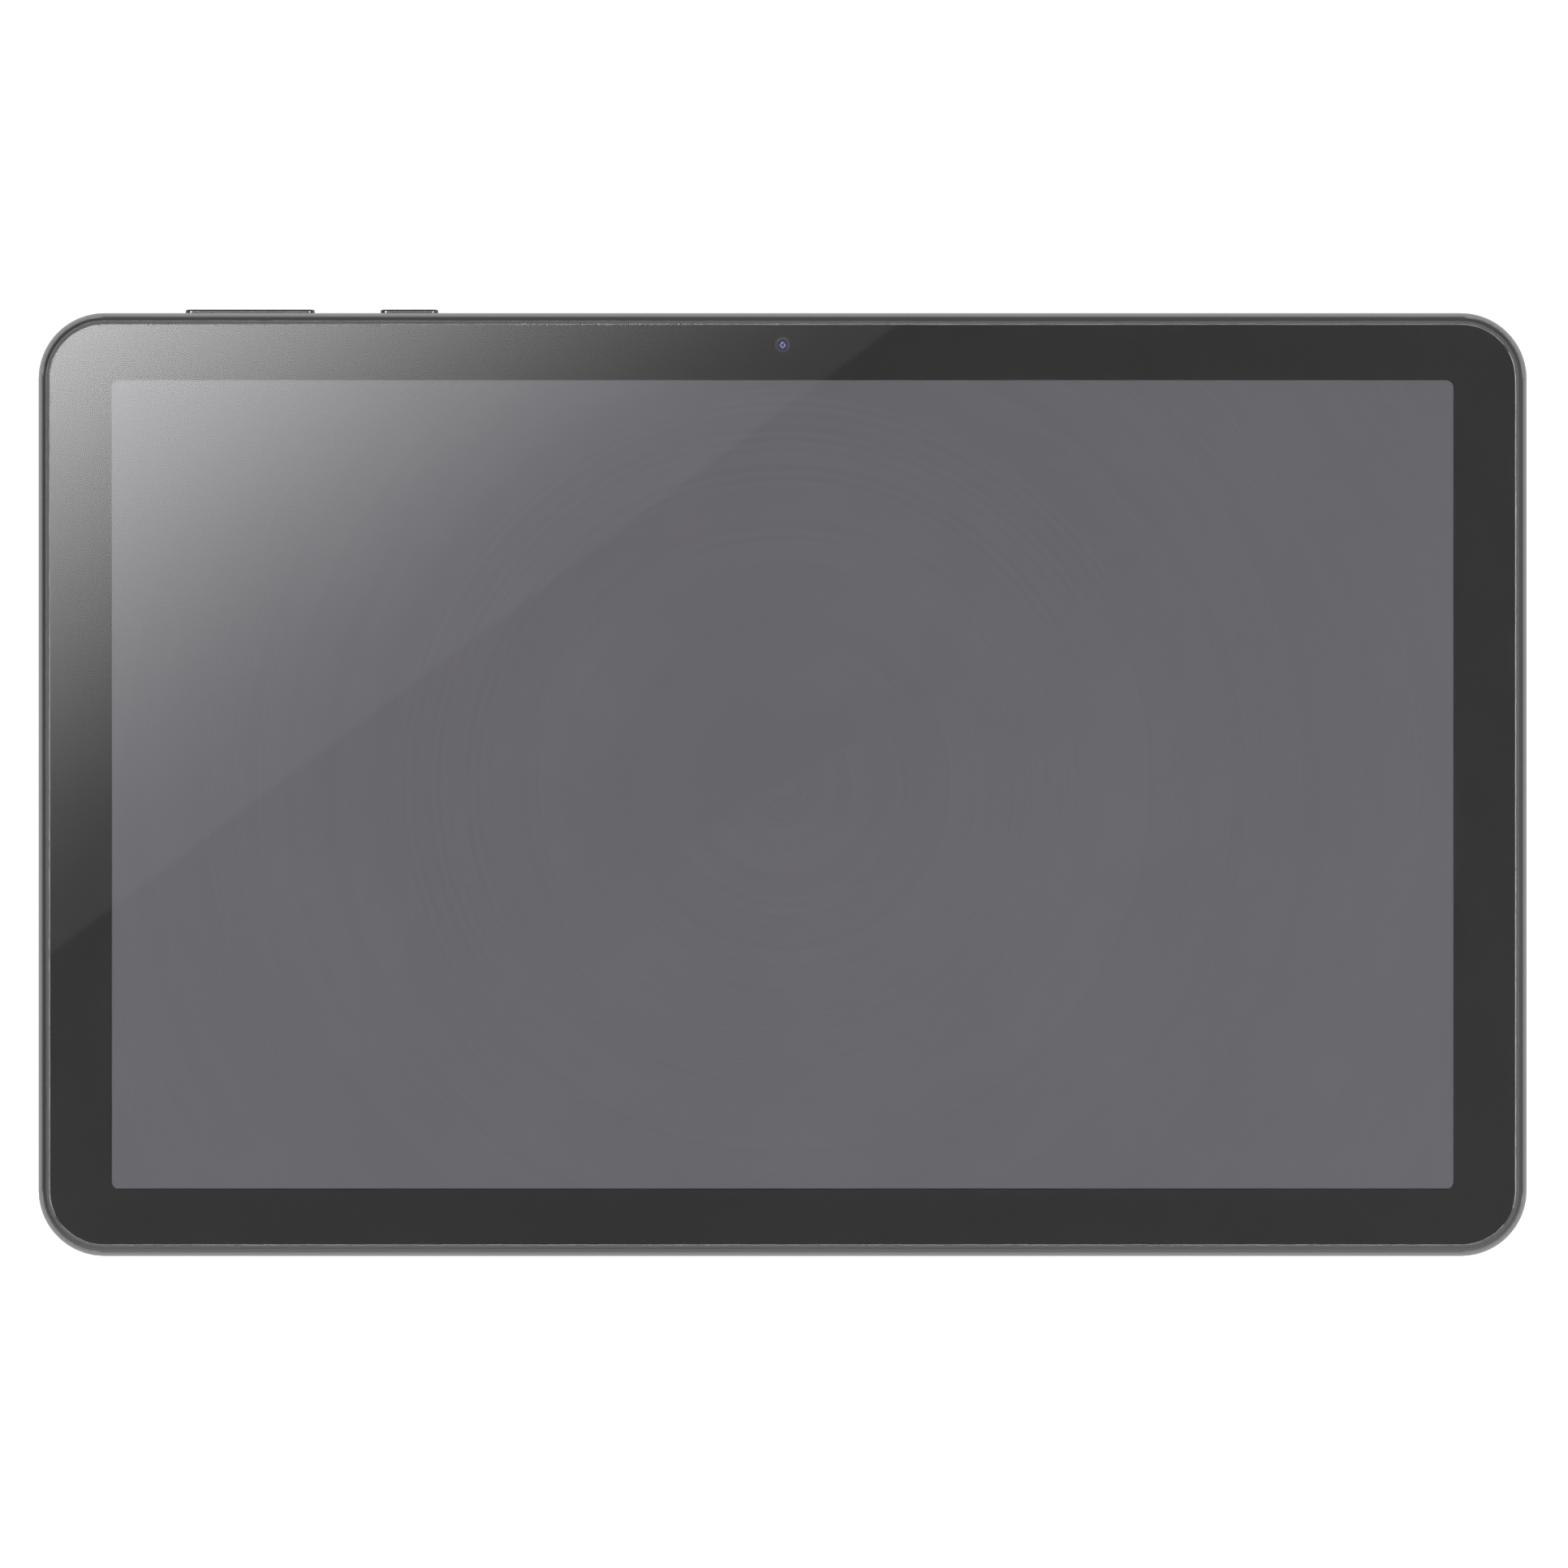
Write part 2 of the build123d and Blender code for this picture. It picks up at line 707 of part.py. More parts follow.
def display_flex():
    """From the panel's ledge, down beside the frame and back under the plate to the main board."""
    low, high = display_flex_span()
    span = (low + flex_side_gap, high - flex_side_gap)
    outside = -plate_y + flex_wall_gap
    t = flex_thickness
    flex = block(span, (outside, -module_y + polariser_inset), (z_filter, z_filter + t))
    flex += block(span, (outside, outside + t), (connector_z, z_filter + t))
    flex += block(span, (outside, board_bottom + display_flex_land), (connector_z, connector_z + t))
    return flex


# ---- glass ----
def border_print():
    ring = inset_plate(glass_inset + print_gap, z_print, z_print + print_thickness)
    ring -= lit_area(0, z_print - 1, z_glass)
    return ring - disc(0, front_y, front_window_radius, z_print - 1, z_glass)


def cover_glass():
    sheet = inset_plate(glass_inset, z_glass, z_top)
    return chamfer(sheet.edges().group_by(Axis.Z)[-1], glass_bevel)


# ---- keys ----
def key(length, x, feet, rocks=False):
    """A key cap with its flange and the feet that press the switches."""
    outer = half_y + key_proud
    cap = pill_y(length, key_height, inner_y - key_flange_gap, outer, x, side_height)
    rim = [e for e in cap.edges() if abs(e.center().Y - outer) < 0.01]
    cap = fillet(rim, key_edge_radius)
    flange_y = (key_inner, inner_y - key_flange_gap)
    half = length / 2 + key_gap + key_flange
    tall = key_height / 2 + key_gap + key_flange * flange_share
    cap += block((x - half, x + half), flange_y, (side_height - tall, side_height + tall))
    for foot in feet:
        cap += rod_y(foot_radius, foot_end, key_inner, x + foot, side_height)
    if rocks:
        cap += disc(x, flange_y[1], key_rib_radius, side_height - tall, side_height + tall)
    return cap


def volume_feet():
    return spread(2, foot_spacing)


def volume_key():
    return key(volume_key_length, volume_key_x, volume_feet(), rocks=True)


def power_key():
    return key(power_key_length, power_key_x, [0])


def switch_places():
    return [volume_key_x + foot for foot in volume_feet()] + [power_key_x]


def side_switches():
    """Switch bodies, each with the bore that a key's foot presses into."""
    made = []
    for x in switch_places():
        body = block((x - switch_length / 2, x + switch_length / 2), (switch_back, switch_front),
                     (side_height - switch_width / 2, side_height + switch_width / 2))
        bore_end = foot_end - key_travel - foot_end_gap
        body -= rod_y(foot_radius + foot_gap, bore_end, switch_front + 1, x, side_height)
        made.append(body)
    return group(made)


def key_flex():
    """A strip behind the switches, and a tail to the main board."""
    back = switch_back - flex_thickness
    strip = block((key_span_left, key_span_right), (back, switch_back),
                  (side_height - key_strip_width / 2, side_height + key_strip_width / 2))
    tail_x = key_tail_span()
    tail = block(tail_x, (board_top - key_tail_land, back),
                 (connector_z, connector_z + flex_thickness))
    return strip + tail


def key_tail_span():
    middle = (volume_key_x + power_key_x) / 2
    return (middle - key_tail_width / 2, middle + key_tail_width / 2)


def key_bracket():
    """A pressed steel angle that backs the switches, its two ears under the frame's ledge."""
    back = switch_back - flex_thickness
    front = back - bracket_sheet
    span = (key_span_left - bracket_overhang, key_span_right + bracket_overhang)
    angle = block(span, (front, back), (side_height - bracket_drop, z_ledge))
    low, high = key_tail_span()
    gate = (connector_z - bracket_gate_gap, connector_z + flex_thickness + bracket_gate_gap)
    angle -= block((low - bracket_gate_side, high + bracket_gate_side), (front - 1, back + 1), gate)
    for x in (span[0], span[1] - bracket_ear):
        angle += block((x, x + bracket_ear), (front, key_inner - bracket_ear_gap),
                       (z_ledge - bracket_sheet, z_ledge))
    return angle


# ---- charging socket ----
def usb_shell():
    mouth = half_x - usb_recess
    outside = pill_x(usb_mouth_width + 2 * usb_shell_wall, 2 * usb_half_outer,
                     usb_back, mouth, 0, usb_height)
    inside = pill_x(usb_mouth_width, usb_mouth_height, usb_back + usb_back_wall, mouth + 1,
                    0, usb_height)
    return outside - inside


def usb_tongue_z():
    return (usb_height - usb_tongue_thickness / 2, usb_height + usb_tongue_thickness / 2)


def usb_tongue():
    root = usb_back + usb_back_wall
    half = usb_tongue_width / 2
    tongue = block((root, root + usb_tongue_length), (-half, half), usb_tongue_z())
    shoulder = pill_x(usb_mouth_width - 2 * usb_shoulder_gap, usb_mouth_height - 2 * usb_shoulder_gap,
                      root, root + usb_shoulder_length, 0, usb_height)
    return tongue + shoulder


def usb_contacts():
    low, high = usb_tongue_z()
    root = usb_back + usb_back_wall + usb_contact_start
    x = (root, root + usb_contact_length)
    half = usb_contact_width / 2
    made = []
    for y in spread(usb_contact_count, usb_contact_pitch):
        made.append(block(x, (y - half, y + half), (high, high + usb_contact_height)))
        made.append(block(x, (y - half, y + half), (low - usb_contact_height, low)))
    return group(made)


def usb_gasket():
    """Rubber ring between the socket's shell and the inside of the case."""
    x = (inner_x - usb_gasket_depth, inner_x)
    rim = z_ledge - usb_gasket_gap - usb_height - usb_half_outer
    width = usb_mouth_width + 2 * usb_shell_wall
    ring = pill_x(width + 3 * rim, 2 * (usb_half_outer + rim), *x, 0, usb_height)
    ring -= pill_x(width, 2 * usb_half_outer, x[0] - 1, x[1] + 1, 0, usb_height)
    return ring - usb_board_space()


def usb_board_space():
    return block((usb_board_left, inner_x + 1), (-usb_board_length / 2, usb_board_length / 2),
                 (0, usb_board_z + usb_board_thickness))


def usb_board():
    half = usb_board_length / 2
    board = block((usb_board_left, usb_board_right - usb_board_edge_gap), (-half, half),
                  (usb_board_z, usb_board_z + usb_board_thickness))
    for x, y in usb_screws():
        board -= disc(x, y, screw_radius + screw_hole_gap, 0, z_plate)
    return board


def usb_connector_x():
    return (usb_board_left + 1.0, usb_board_left + 4.0)


def usb_chips():
    """(x, y) spans of the small parts behind the socket."""
    low = usb_connector_x()[1] + 2.0
    return [((low, low + 2.2), (y, y + 2.2)) for y in (-3, 1, 5)]


# ---- card tray and its ejector ----
def tray_body_x():
    front = -half_x + door_thickness
    return (front, front + tray_length)


def card_tray():
    front, back = tray_body_x()
    low = tray_offset - tray_width / 2
    high = tray_offset + tray_width / 2
    body = block((front, back), (low, high), (tray_z, tray_z + tray_thickness))
    card_back = back - tray_rim
    half = card_width / 2
    body -= block((card_back - card_length, card_back), (tray_offset - half, tray_offset + half),
                  (tray_z + tray_skin, z_top))
    window = (card_back - card_length + tray_window_end, card_back - tray_window_end)
    side = half - tray_window_side
    body -= block(window, (tray_offset - side, tray_offset + side), (0, z_top))
    return body


def tray_door():
    door = pill_x(door_length, door_height, -half_x, -half_x + door_thickness, 0, tray_mid_z)
    return door - rod_x(eject_hole_radius, -half_x - 1, 0, eject_hole_offset, tray_mid_z)


def rod_front():
    return -inner_x + 0.5


def lever_x():
    """Middle of the lever, behind the tray by more than it swings."""
    return tray_body_x()[1] + eject_travel + lever_clearance + lever_thickness / 2


def lever_pivot_y():
    return eject_hole_offset - lever_arm


def eject_rod():
    half = rod_width / 2
    tip = lever_x() - lever_thickness / 2 - rod_lever_gap - half
    z = (tray_mid_z - rod_thickness / 2, tray_mid_z + rod_thickness / 2)
    y = (eject_hole_offset - half, eject_hole_offset + half)
    return block((rod_front(), tip), y, z) + disc(tip, eject_hole_offset, half, *z)


def eject_lever():
    half = lever_thickness / 2
    z = (tray_mid_z - lever_height / 2, tray_mid_z + lever_height / 2)
    reach = lever_arm + half
    y = lever_pivot_y()
    arm = block((lever_x() - half, lever_x() + half), (y - reach, y + reach), z)
    arm += disc(lever_x(), y, pivot_radius + pivot_wall, *z)
    return arm - disc(lever_x(), y, pivot_radius + pivot_gap, z[0] - 1, z[1] + 1)


def lever_pin():
    return disc(lever_x(), lever_pivot_y(), pivot_radius, board_top_z + socket_slide_gap, socket_top())


def socket_top():
    return tray_z + tray_thickness + socket_slide_gap


def socket_x():
    return (-pocket_x, lever_x() + socket_depth)


def socket_y():
    return (tray_offset - tray_width / 2 - socket_rail, eject_hole_offset + socket_rod_rail)


def card_socket_base():
    """The moulded floor and side rails that the tray, rod and lever run on."""
    x, y = socket_x(), socket_y()
    base = block(x, y, (board_top_z, tray_z - socket_slide_gap))
    low, high = tray_offset - tray_width / 2, tray_offset + tray_width / 2
    rail_top = socket_top()
    base += block(x, (y[0], low - socket_side_gap), (board_top_z, rail_top))
    rod = (eject_hole_offset - rod_width / 2, eject_hole_offset + rod_width / 2)
    base += block(x, (rod[1] + socket_side_gap, y[1]), (board_top_z, rail_top))
    tray_back = tray_body_x()[1]
    base += block((x[0], tray_back - divider_end), (high + socket_side_gap, rod[0] - rod_rail_gap),
                  (board_top_z, rail_top))
    return base - disc(lever_x(), lever_pivot_y(), pivot_radius, board_top_z + socket_slide_gap, z_plate)


def card_socket_shell():
    x, y = socket_x(), socket_y()
    top = (socket_top(), socket_top() + shell_sheet)
    shell = block(x, (y[0] - shell_side_sheet, y[1] + shell_side_sheet), top)
    for low in (y[0] - shell_side_sheet, y[1]):
        shell += block(x, (low, low + shell_side_sheet), (board_top_z, top[1]))
    return shell


def card_contacts():
    low = tray_z - socket_slide_gap
    z = (low, low + card_contact_height)
    back = tray_body_x()[1] - card_contact_inset
    half = card_contact_width / 2
    return group([block((back - card_contact_length, back),
                        (tray_offset + y - half, tray_offset + y + half), z)
                  for y in spread(card_contact_count, card_contact_pitch)])


# ---- boards ----
def main_board():
    board = block((board_left, board_right), (board_bottom, board_top), (board_z, board_top_z))
    half = rear_camera_size / 2 + camera_module_gap
    board -= block((rear_x - half, rear_x + half), (rear_y - half, board_top + 1), (0, z_plate))
    for x, y in main_screws():
        board -= disc(x, y, screw_radius + screw_hole_gap, 0, z_plate)
    return board


def shield_frames():
    """(x, y) spans of the two shielded areas on the board's underside."""
    left, right = board_left + can_side, board_right - can_side
    low, high = board_bottom + can_bottom_edge, board_top - can_top_edge
    middle = (low + high) / 2
    return [((left, right), (low, middle - 1)), ((left, right), (middle + 1, high))]


def shield_cans():
    cans = []
    for x, y in shield_frames():
        can = block(x, y, (can_bottom, board_z))
        inside = [(low + can_sheet, high - can_sheet) for low, high in (x, y)]
        cans.append(can - block(*inside, (can_bottom + can_sheet, board_z + 1)))
    return group(cans)


def main_chips():
    """(x, y) spans of the packages under the shield cans."""
    (x, y), (_, y2) = shield_frames()
    mid_x = sum(x) / 2
    low, high = sum(y) / 2, sum(y2) / 2
    sizes = [
        (mid_x, high + 4, 13, 13),
        (mid_x - 1, high - 9, 11, 9),
        (mid_x, low + 7, 11.5, 13),
        (mid_x - 4, low - 8, 6, 6),
        (mid_x + 6, low - 8, 7, 7),
    ]
    return [((cx - w / 2, cx + w / 2), (cy - h / 2, cy + h / 2)) for cx, cy, w, h in sizes]


def driver_chips():
    """(x, y) spans of the display drivers on the panel's ledge."""
    y = (-module_y + 0.35, -module_y + 1.2)
    middle = sum(display_flex_span()) / 2 + 60
    return [((middle + step - 10, middle + step + 10), y) for step in spread(2, 55.0)]


def cell_guard_chips():
    """(x, y) spans of the parts on the battery's guard board."""
    y = sum(battery_board_y()) / 2
    start = cell_left + 8
    return [((start + 7 * i, start + 7 * i + 3), (y - 1.2, y + 1.2)) for i in range(5)]


def circuit_chips():
    under_board = (can_bottom + can_sheet + chip_gap, board_z)
    on_panel = (z_filter, z_filter + 0.2)
    usb_top = usb_board_z + usb_board_thickness
    guard = (connector_z - guard_thickness - 0.8, connector_z - guard_thickness)
    chips = [block(x, y, under_board) for x, y in main_chips()]
    chips += [block(x, y, on_panel) for x, y in driver_chips()]
    chips += [block(x, y, (usb_top, usb_top + 0.6)) for x, y in usb_chips()]
    chips += [block(x, y, guard) for x, y in cell_guard_chips()]
    return group(chips)


def thermal_pad():
    x, y = shield_frames()[1]
    middle_x, middle_y = sum(x) / 2, sum(y) / 2 + 4
    half = pad_size / 2
    return block((middle_x - half, middle_x + half), (middle_y - half, middle_y + half),
                 (floor_thickness + graphite_thickness, can_bottom))


def connector_places():
    """(x, y) spans of the sockets on the main board's upper side."""
    flex_low, flex_high = display_flex_span()
    tail = key_tail_span()
    link = link_flex_x()
    mic = mic_flex_x()
    return {
        "display": ((flex_low + 1, flex_high - 1), (board_bottom + 2, board_bottom + 4.6)),
        "keys": (tail, (board_top - 4.5, board_top - 2.3)),
        "link": (link, (board_bottom + 8, board_bottom + 10.4)),
        "microphone": (mic, (board_bottom + 2, board_bottom + 4)),
        "camera": (camera_socket_x(), camera_flex_y()),
        "battery": ((board_right - 3.6, board_right - 0.8), battery_flex_y()),
    }


def board_connectors():
    usb_top = usb_board_z + usb_board_thickness
    sockets = [block(x, y, (board_top_z, connector_z)) for x, y in connector_places().values()]
    sockets.append(block(usb_connector_x(), (-10, -2), (usb_top, usb_top + connector_height)))
    return group(sockets)


def board_screws():
    screws = []
    for x, y in main_screws():
        screws.append(screw(x, y, board_z))
    for x, y in usb_screws():
        screws.append(screw(x, y, usb_board_z))
    return group(screws)


def screw(x, y, seat):
    """Head under the board, shank up into the boss, and a cross recess in the head."""
    made = disc(x, y, screw_head_radius, seat - screw_head_height, seat)
    made += disc(x, y, screw_radius, seat, z_plate_top - screw_end_gap)
    long, short = screw_slot_length / 2, screw_slot_width / 2
    bottom = seat - screw_head_height + screw_slot_depth
    for arm in ((long, short), (short, long)):
        made -= block((x - arm[0], x + arm[0]), (y - arm[1], y + arm[1]), (0, bottom))
    return made


# ---- flat cables and coax ----
def link_flex_x():
    return (board_right - 8.6, board_right - 5.0)


def link_flex():
    """Main board to the charging board, along the -Y side of the battery."""
    t = flex_thickness
    z = (connector_z, connector_z + t)
    x = link_flex_x()
    lane = (cell_bottom - 6.5, cell_bottom - 2.5)
    turn = usb_board_left - 0.5
    flex = block(x, (lane[0], board_bottom + 10.4), z)
    flex += block((x[0], turn), lane, z)
    flex += block((turn - 4, turn), (lane[0], -4.0), z)
    end = usb_connector_x()
    low = usb_board_z + usb_board_thickness + connector_height
    flex += block((turn - 4, turn), (-8.0, -4.0), z)
    flex += block((turn - t, turn), (-8.0, -4.0), sorted((low, connector_z + t)))
    flex += block((turn - t, end[1]), (-8.0, -4.0), (low, low + t))
    return flex


def battery_flex_y():
    return (board_top - 16.0, board_top - 12.0)


def battery_board_y():
    return (cell_top + guard_gap, cell_top + guard_gap + guard_width)


def battery_flex():
    t = flex_thickness
    y = battery_flex_y()
    z = (connector_z, connector_z + t)
    x_end = cell_left + cell_width * 0.5
    board_mid = sum(battery_board_y()) / 2
    low, high = min(y[0], board_mid - 1.5), max(y[1], board_mid + 1.5)
    turn = (board_right + 0.6, board_right + 4.4)
    flex = block((board_right - 3.6, turn[1]), y, z)
    flex += block(turn, (low, high), z)
    return flex + block((turn[0], x_end), (board_mid - 1.5, board_mid + 1.5), z)


def battery_board():
    y = battery_board_y()
    middle = (cell_left + cell_right) / 2
    return block((cell_left + 4, middle + cell_width * 0.6), y, (connector_z - guard_thickness, connector_z))


def cell_centres():
    left = cell_left + cell_width / 2
    return [left, left + cell_width + battery_gap]


def battery_cells():
    """Two pouches with soft edges, and the folded seal along each top."""
    cells = []
    for x in cell_centres():
        y = (cell_top + cell_bottom) / 2
        outline = RectangleRounded(cell_width, cell_length, cell_corner)
        cell = extrude(Pos(x, y, cell_z) * outline, cell_thickness)
        flat = cell.edges().group_by(Axis.Z)
        cells.append(fillet(flat[0] + flat[-1], cell_edge))
    return group(cells)


def adhesive_tapes():
    """The ring that holds the glass, and the strips that hold the cells to the plate."""
    strips = [glass_ring()]
    for x in cell_centres():
        for step in spread(2, cell_width - 2 * tape_strip_side):
            strip = x + step - tape_strip_width / 2
            strips.append(block((strip, strip + tape_strip_width),
                                (cell_bottom + tape_strip_end, cell_top - tape_strip_end),
                                (z_plate - battery_tape, z_plate)))
    return group(strips)


def camera_socket_x():
    return (board_right - 3.2, board_right - 0.6)


def camera_flex_y():
    return (cell_top + 5.6, cell_top + 8.4)


def camera_flex():
    t = flex_thickness
    y = camera_flex_y()
    z = (connector_z, connector_z + t)
    half = camera_flex_width / 2
    flex = block((camera_socket_x()[0], half), y, z)
    return flex + block((-half, half), (y[0], front_y + 1), z)


def mic_flex_x():
    low = display_flex_span()[1]
    return (low + 1.5, low + 3.3)


def mic_flex():
    """Up the microphone's back, then under the plate to the main board."""
    t = flex_thickness
    back = mic_back()
    wide = (mic_x - mic_flex_width / 2, mic_x + mic_flex_width / 2)
    z = (connector_z, connector_z + t)
    lane = (-pocket_y + 1.0, -pocket_y + 2.8)
    x = mic_flex_x()
    flex = block(wide, (back, back + t), (connector_z, mic_height + 0.3))
    flex += block(wide, (back, lane[1]), z)
    flex += block((x[0], wide[1]), lane, z)
    return flex + block(x, (lane[0], board_bottom + 4), z)


def cable_lane_y():
    return camera_flex_y()[1] + 1.2


def aerial_cables():
    """Two coax leads. Each starts on the board, dips under the flat cables and turns to its aerial."""
    cables = []
    start_z = board_top_z + cable_radius
    low_z = connector_z - cable_radius - cable_gap
    edge = board_right + 0.6
    for index, span in enumerate(aerial_places()):
        lane = cable_lane_y() + index * (2 * cable_radius + 0.3)
        x = sum(span) / 2
        line = FilletPolyline((edge - 3, lane, start_z), (edge, lane, start_z),
                              (edge + 5, lane, low_z), (x, lane, low_z),
                              (x, aerial_y()[0], low_z), radius=cable_bend)
        section = Plane(origin=line @ 0, z_dir=line % 0) * Circle(cable_radius)
        cables.append(sweep(section, path=line))
    return group(cables)


def aerial_y():
    return (plate_y + aerial_wall_gap, inner_y - aerial_wall_gap)


def aerial_floor():
    return floor_thickness + aerial_floor_gap


def aerial_carriers():
    height = (aerial_floor(), z_ledge - aerial_ledge_gap)
    return group([block(span, aerial_y(), height) for span in aerial_places()])


def aerial_films():
    """The copper film wrapped over each carrier: bottom face and outer side."""
    low, high = aerial_y()
    bottom = aerial_floor() - film_wrap
    made = []
    for start, end in aerial_places():
        span = (start + film_end, end - film_end)
        film = block(span, (low + film_inset, high + film_wrap), (bottom, aerial_floor()))
        film += block(span, (high, high + film_wrap), (bottom, z_ledge - film_top_gap))
        made.append(film)
    return group(made)


# ---- speakers and microphone ----
def speaker_boxes():
    boxes = []
    for x, y, _ in speaker_places():
        half_w, half_l = speaker_width / 2, speaker_length / 2
        box = block((x - half_w, x + half_w), (y - half_l, y + half_l), (speaker_z, speaker_top))
        half_w -= cone_wall
        half_l -= cone_end
        hollow = block((x - half_w, x + half_w), (y - half_l, y + half_l),
                       (speaker_z - 1, speaker_z + cone_well))
        boxes.append(box - hollow)
    return group(boxes)


def speaker_cones():
    cones = []
    for x, y, _ in speaker_places():
        half_w = speaker_width / 2 - cone_wall - cone_gap
        half_l = speaker_length / 2 - cone_end - cone_gap
        top = speaker_z + cone_well
        cones.append(block((x - half_w, x + half_w), (y - half_l, y + half_l),
                           (top - cone_thickness, top)))
    return group(cones)


def speaker_meshes():
    meshes = []
    half_l = (grille_slots - 1) * grille_pitch / 2 + grille_slot_length / 2 + mesh_margin
    for _, y, sign in speaker_places():
        x = sorted((sign * (inner_x - mesh_thickness), sign * inner_x))
        meshes.append(block(x, (y - half_l, y + half_l),
                            (side_height - mesh_height / 2, side_height + mesh_height / 2)))
    return group(meshes)


def mic_back():
    return -inner_y + mic_boot_depth + mic_can_depth


def mic_z():
    return (mic_height - mic_below, z_ledge - mic_ledge_gap)


def mic_boot():
    """Soft rubber sleeve that seals the microphone to the slots in the case."""
    half = mic_boot_width / 2
    boot = block((mic_x - half, mic_x + half), (-inner_y, -inner_y + mic_boot_depth), mic_z())
    return boot - rod_y(mic_boot_bore, -inner_y - 1, 0, mic_x, mic_height - mic_port_drop)


def microphone():
    half = mic_can_width / 2
    front = -inner_y + mic_boot_depth
    can = block((mic_x - half, mic_x + half), (front, mic_back()), mic_z())
    return can - rod_y(mic_port_radius, -inner_y, front + mic_port_depth, mic_x,
                       mic_height - mic_port_drop)


# ---- cameras ----
def front_camera():
    half = front_camera_size / 2
    bottom = connector_z + flex_thickness
    base = block((-half, half), (front_y - half, front_y + half), (bottom, z_ledge - lens_gap))
    top = z_print - front_barrel_drop
    barrel = disc(0, front_y, front_barrel_radius, z_ledge - lens_gap, top)
    bore = disc(0, front_y, front_lens_radius + front_lens_rim + lens_gap, z_ledge, top + 1)
    return base + barrel - bore


def camera_lenses():
    """The front lens looks out through the print and the rear one through its cover."""
    front = disc(0, front_y, front_lens_radius + front_lens_rim, z_ledge, z_print - front_lens_drop)
    front = fillet(front.edges().group_by(Axis.Z)[-1], front_lens_edge)
    low = rear_barrel_z()[0] + rear_lens_setback
    rear = disc(rear_x, rear_y, rear_lens_radius, low, low + rear_lens_length)
    rear = fillet(rear.edges().group_by(Axis.Z)[0], rear_lens_edge)
    return group([front, rear])


def rear_barrel_z():
    low = floor_thickness + rear_cover_recess
    return (low, low + rear_barrel_length)


def rear_camera():
    half = rear_camera_size / 2
    low, high = rear_barrel_z()
    body = block((rear_x - half, rear_x + half), (rear_y - half, rear_y + half), (high, z_plate))
    body += disc(rear_x, rear_y, rear_barrel_radius, low, high)
    return body - disc(rear_x, rear_y, rear_lens_radius + lens_gap, 0,
                       low + rear_lens_setback + rear_lens_length)


def rear_camera_ring():
    """Metal trim with a flange that holds the lens cover."""
    outer = rear_cover_radius + rear_ring_width
    ring = disc(rear_x, rear_y, outer, rear_ring_recess, rear_barrel_z()[0])
    ring -= disc(rear_x, rear_y, rear_cover_radius + rear_cover_gap, -1, rear_cover_depth)
    return ring - disc(rear_x, rear_y, rear_cover_radius - rear_cover_seat, -1, z_plate)


def rear_lens_cover():
    return disc(rear_x, rear_y, rear_cover_radius, rear_cover_recess, rear_cover_depth)


NODES = [
    rear_case, antenna_window, graphite_sheet, bezel_frame, midplate, adhesive_tapes,
    backlight_tray, backlight_sheets, light_guide, led_strip, tft_glass, filter_glass,
    front_polariser, optical_adhesive, display_flex, border_print, cover_glass,
    volume_key, power_key, side_switches, key_flex, key_bracket,
    usb_shell, usb_tongue, usb_contacts, usb_gasket, usb_board,
    card_tray, tray_door, eject_rod, eject_lever, lever_pin,
    card_socket_base, card_socket_shell, card_contacts,
    main_board, shield_cans, circuit_chips, thermal_pad, board_connectors, board_screws,
    link_flex, battery_flex, battery_board, battery_cells,
    camera_flex, mic_flex, aerial_cables, aerial_carriers, aerial_films,
    speaker_boxes, speaker_cones, speaker_meshes, mic_boot, microphone,
    front_camera, rear_camera, camera_lenses, rear_camera_ring, rear_lens_cover,
]

os.makedirs("parts", exist_ok=True)
for make in NODES:
    export_step(make(), f"parts/{make.__name__}.step")
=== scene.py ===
import json
import math
import bpy
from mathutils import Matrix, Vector


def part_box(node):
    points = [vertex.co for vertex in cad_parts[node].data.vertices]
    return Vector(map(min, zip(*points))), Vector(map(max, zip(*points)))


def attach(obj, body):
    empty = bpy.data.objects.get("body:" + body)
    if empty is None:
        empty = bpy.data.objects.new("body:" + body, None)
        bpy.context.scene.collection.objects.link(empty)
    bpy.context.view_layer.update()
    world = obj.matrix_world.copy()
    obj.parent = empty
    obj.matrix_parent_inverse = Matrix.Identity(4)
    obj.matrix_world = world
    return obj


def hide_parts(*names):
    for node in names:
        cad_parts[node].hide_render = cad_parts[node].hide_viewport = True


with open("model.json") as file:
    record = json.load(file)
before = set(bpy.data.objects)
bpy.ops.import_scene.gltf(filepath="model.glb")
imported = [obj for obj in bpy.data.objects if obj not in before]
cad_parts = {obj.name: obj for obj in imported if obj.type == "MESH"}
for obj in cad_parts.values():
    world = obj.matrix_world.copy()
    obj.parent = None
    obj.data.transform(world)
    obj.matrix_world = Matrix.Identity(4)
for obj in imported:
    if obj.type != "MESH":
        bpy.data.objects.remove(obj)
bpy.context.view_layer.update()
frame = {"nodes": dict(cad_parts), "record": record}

# Slate tablet lying on its back. Metres, +Z out through the glass, +Y to the edge with the keys.

mm = 0.001
nodes = frame["nodes"]


def midOf(low, high):
    return [(a + b) / 2 for a, b in zip(low, high)]


# selecting and shaping
def deselectAll():
    for obj in bpy.context.selected_objects:
        obj.select_set(False)


def makeActive(obj):
    deselectAll()
    obj.select_set(True)
    bpy.context.view_layer.objects.active = obj


def startEdit(obj, mode="FACE"):
    makeActive(obj)
    bpy.ops.object.mode_set(mode="EDIT")
    bpy.ops.mesh.select_mode(type=mode)
    bpy.ops.mesh.select_all(action="DESELECT")


def endEdit():
    bpy.ops.object.mode_set(mode="OBJECT")


def pickFaces(obj, test):
    bpy.ops.object.mode_set(mode="OBJECT")
    for face in obj.data.polygons:
        face.select = test(face)
    bpy.ops.object.mode_set(mode="EDIT")


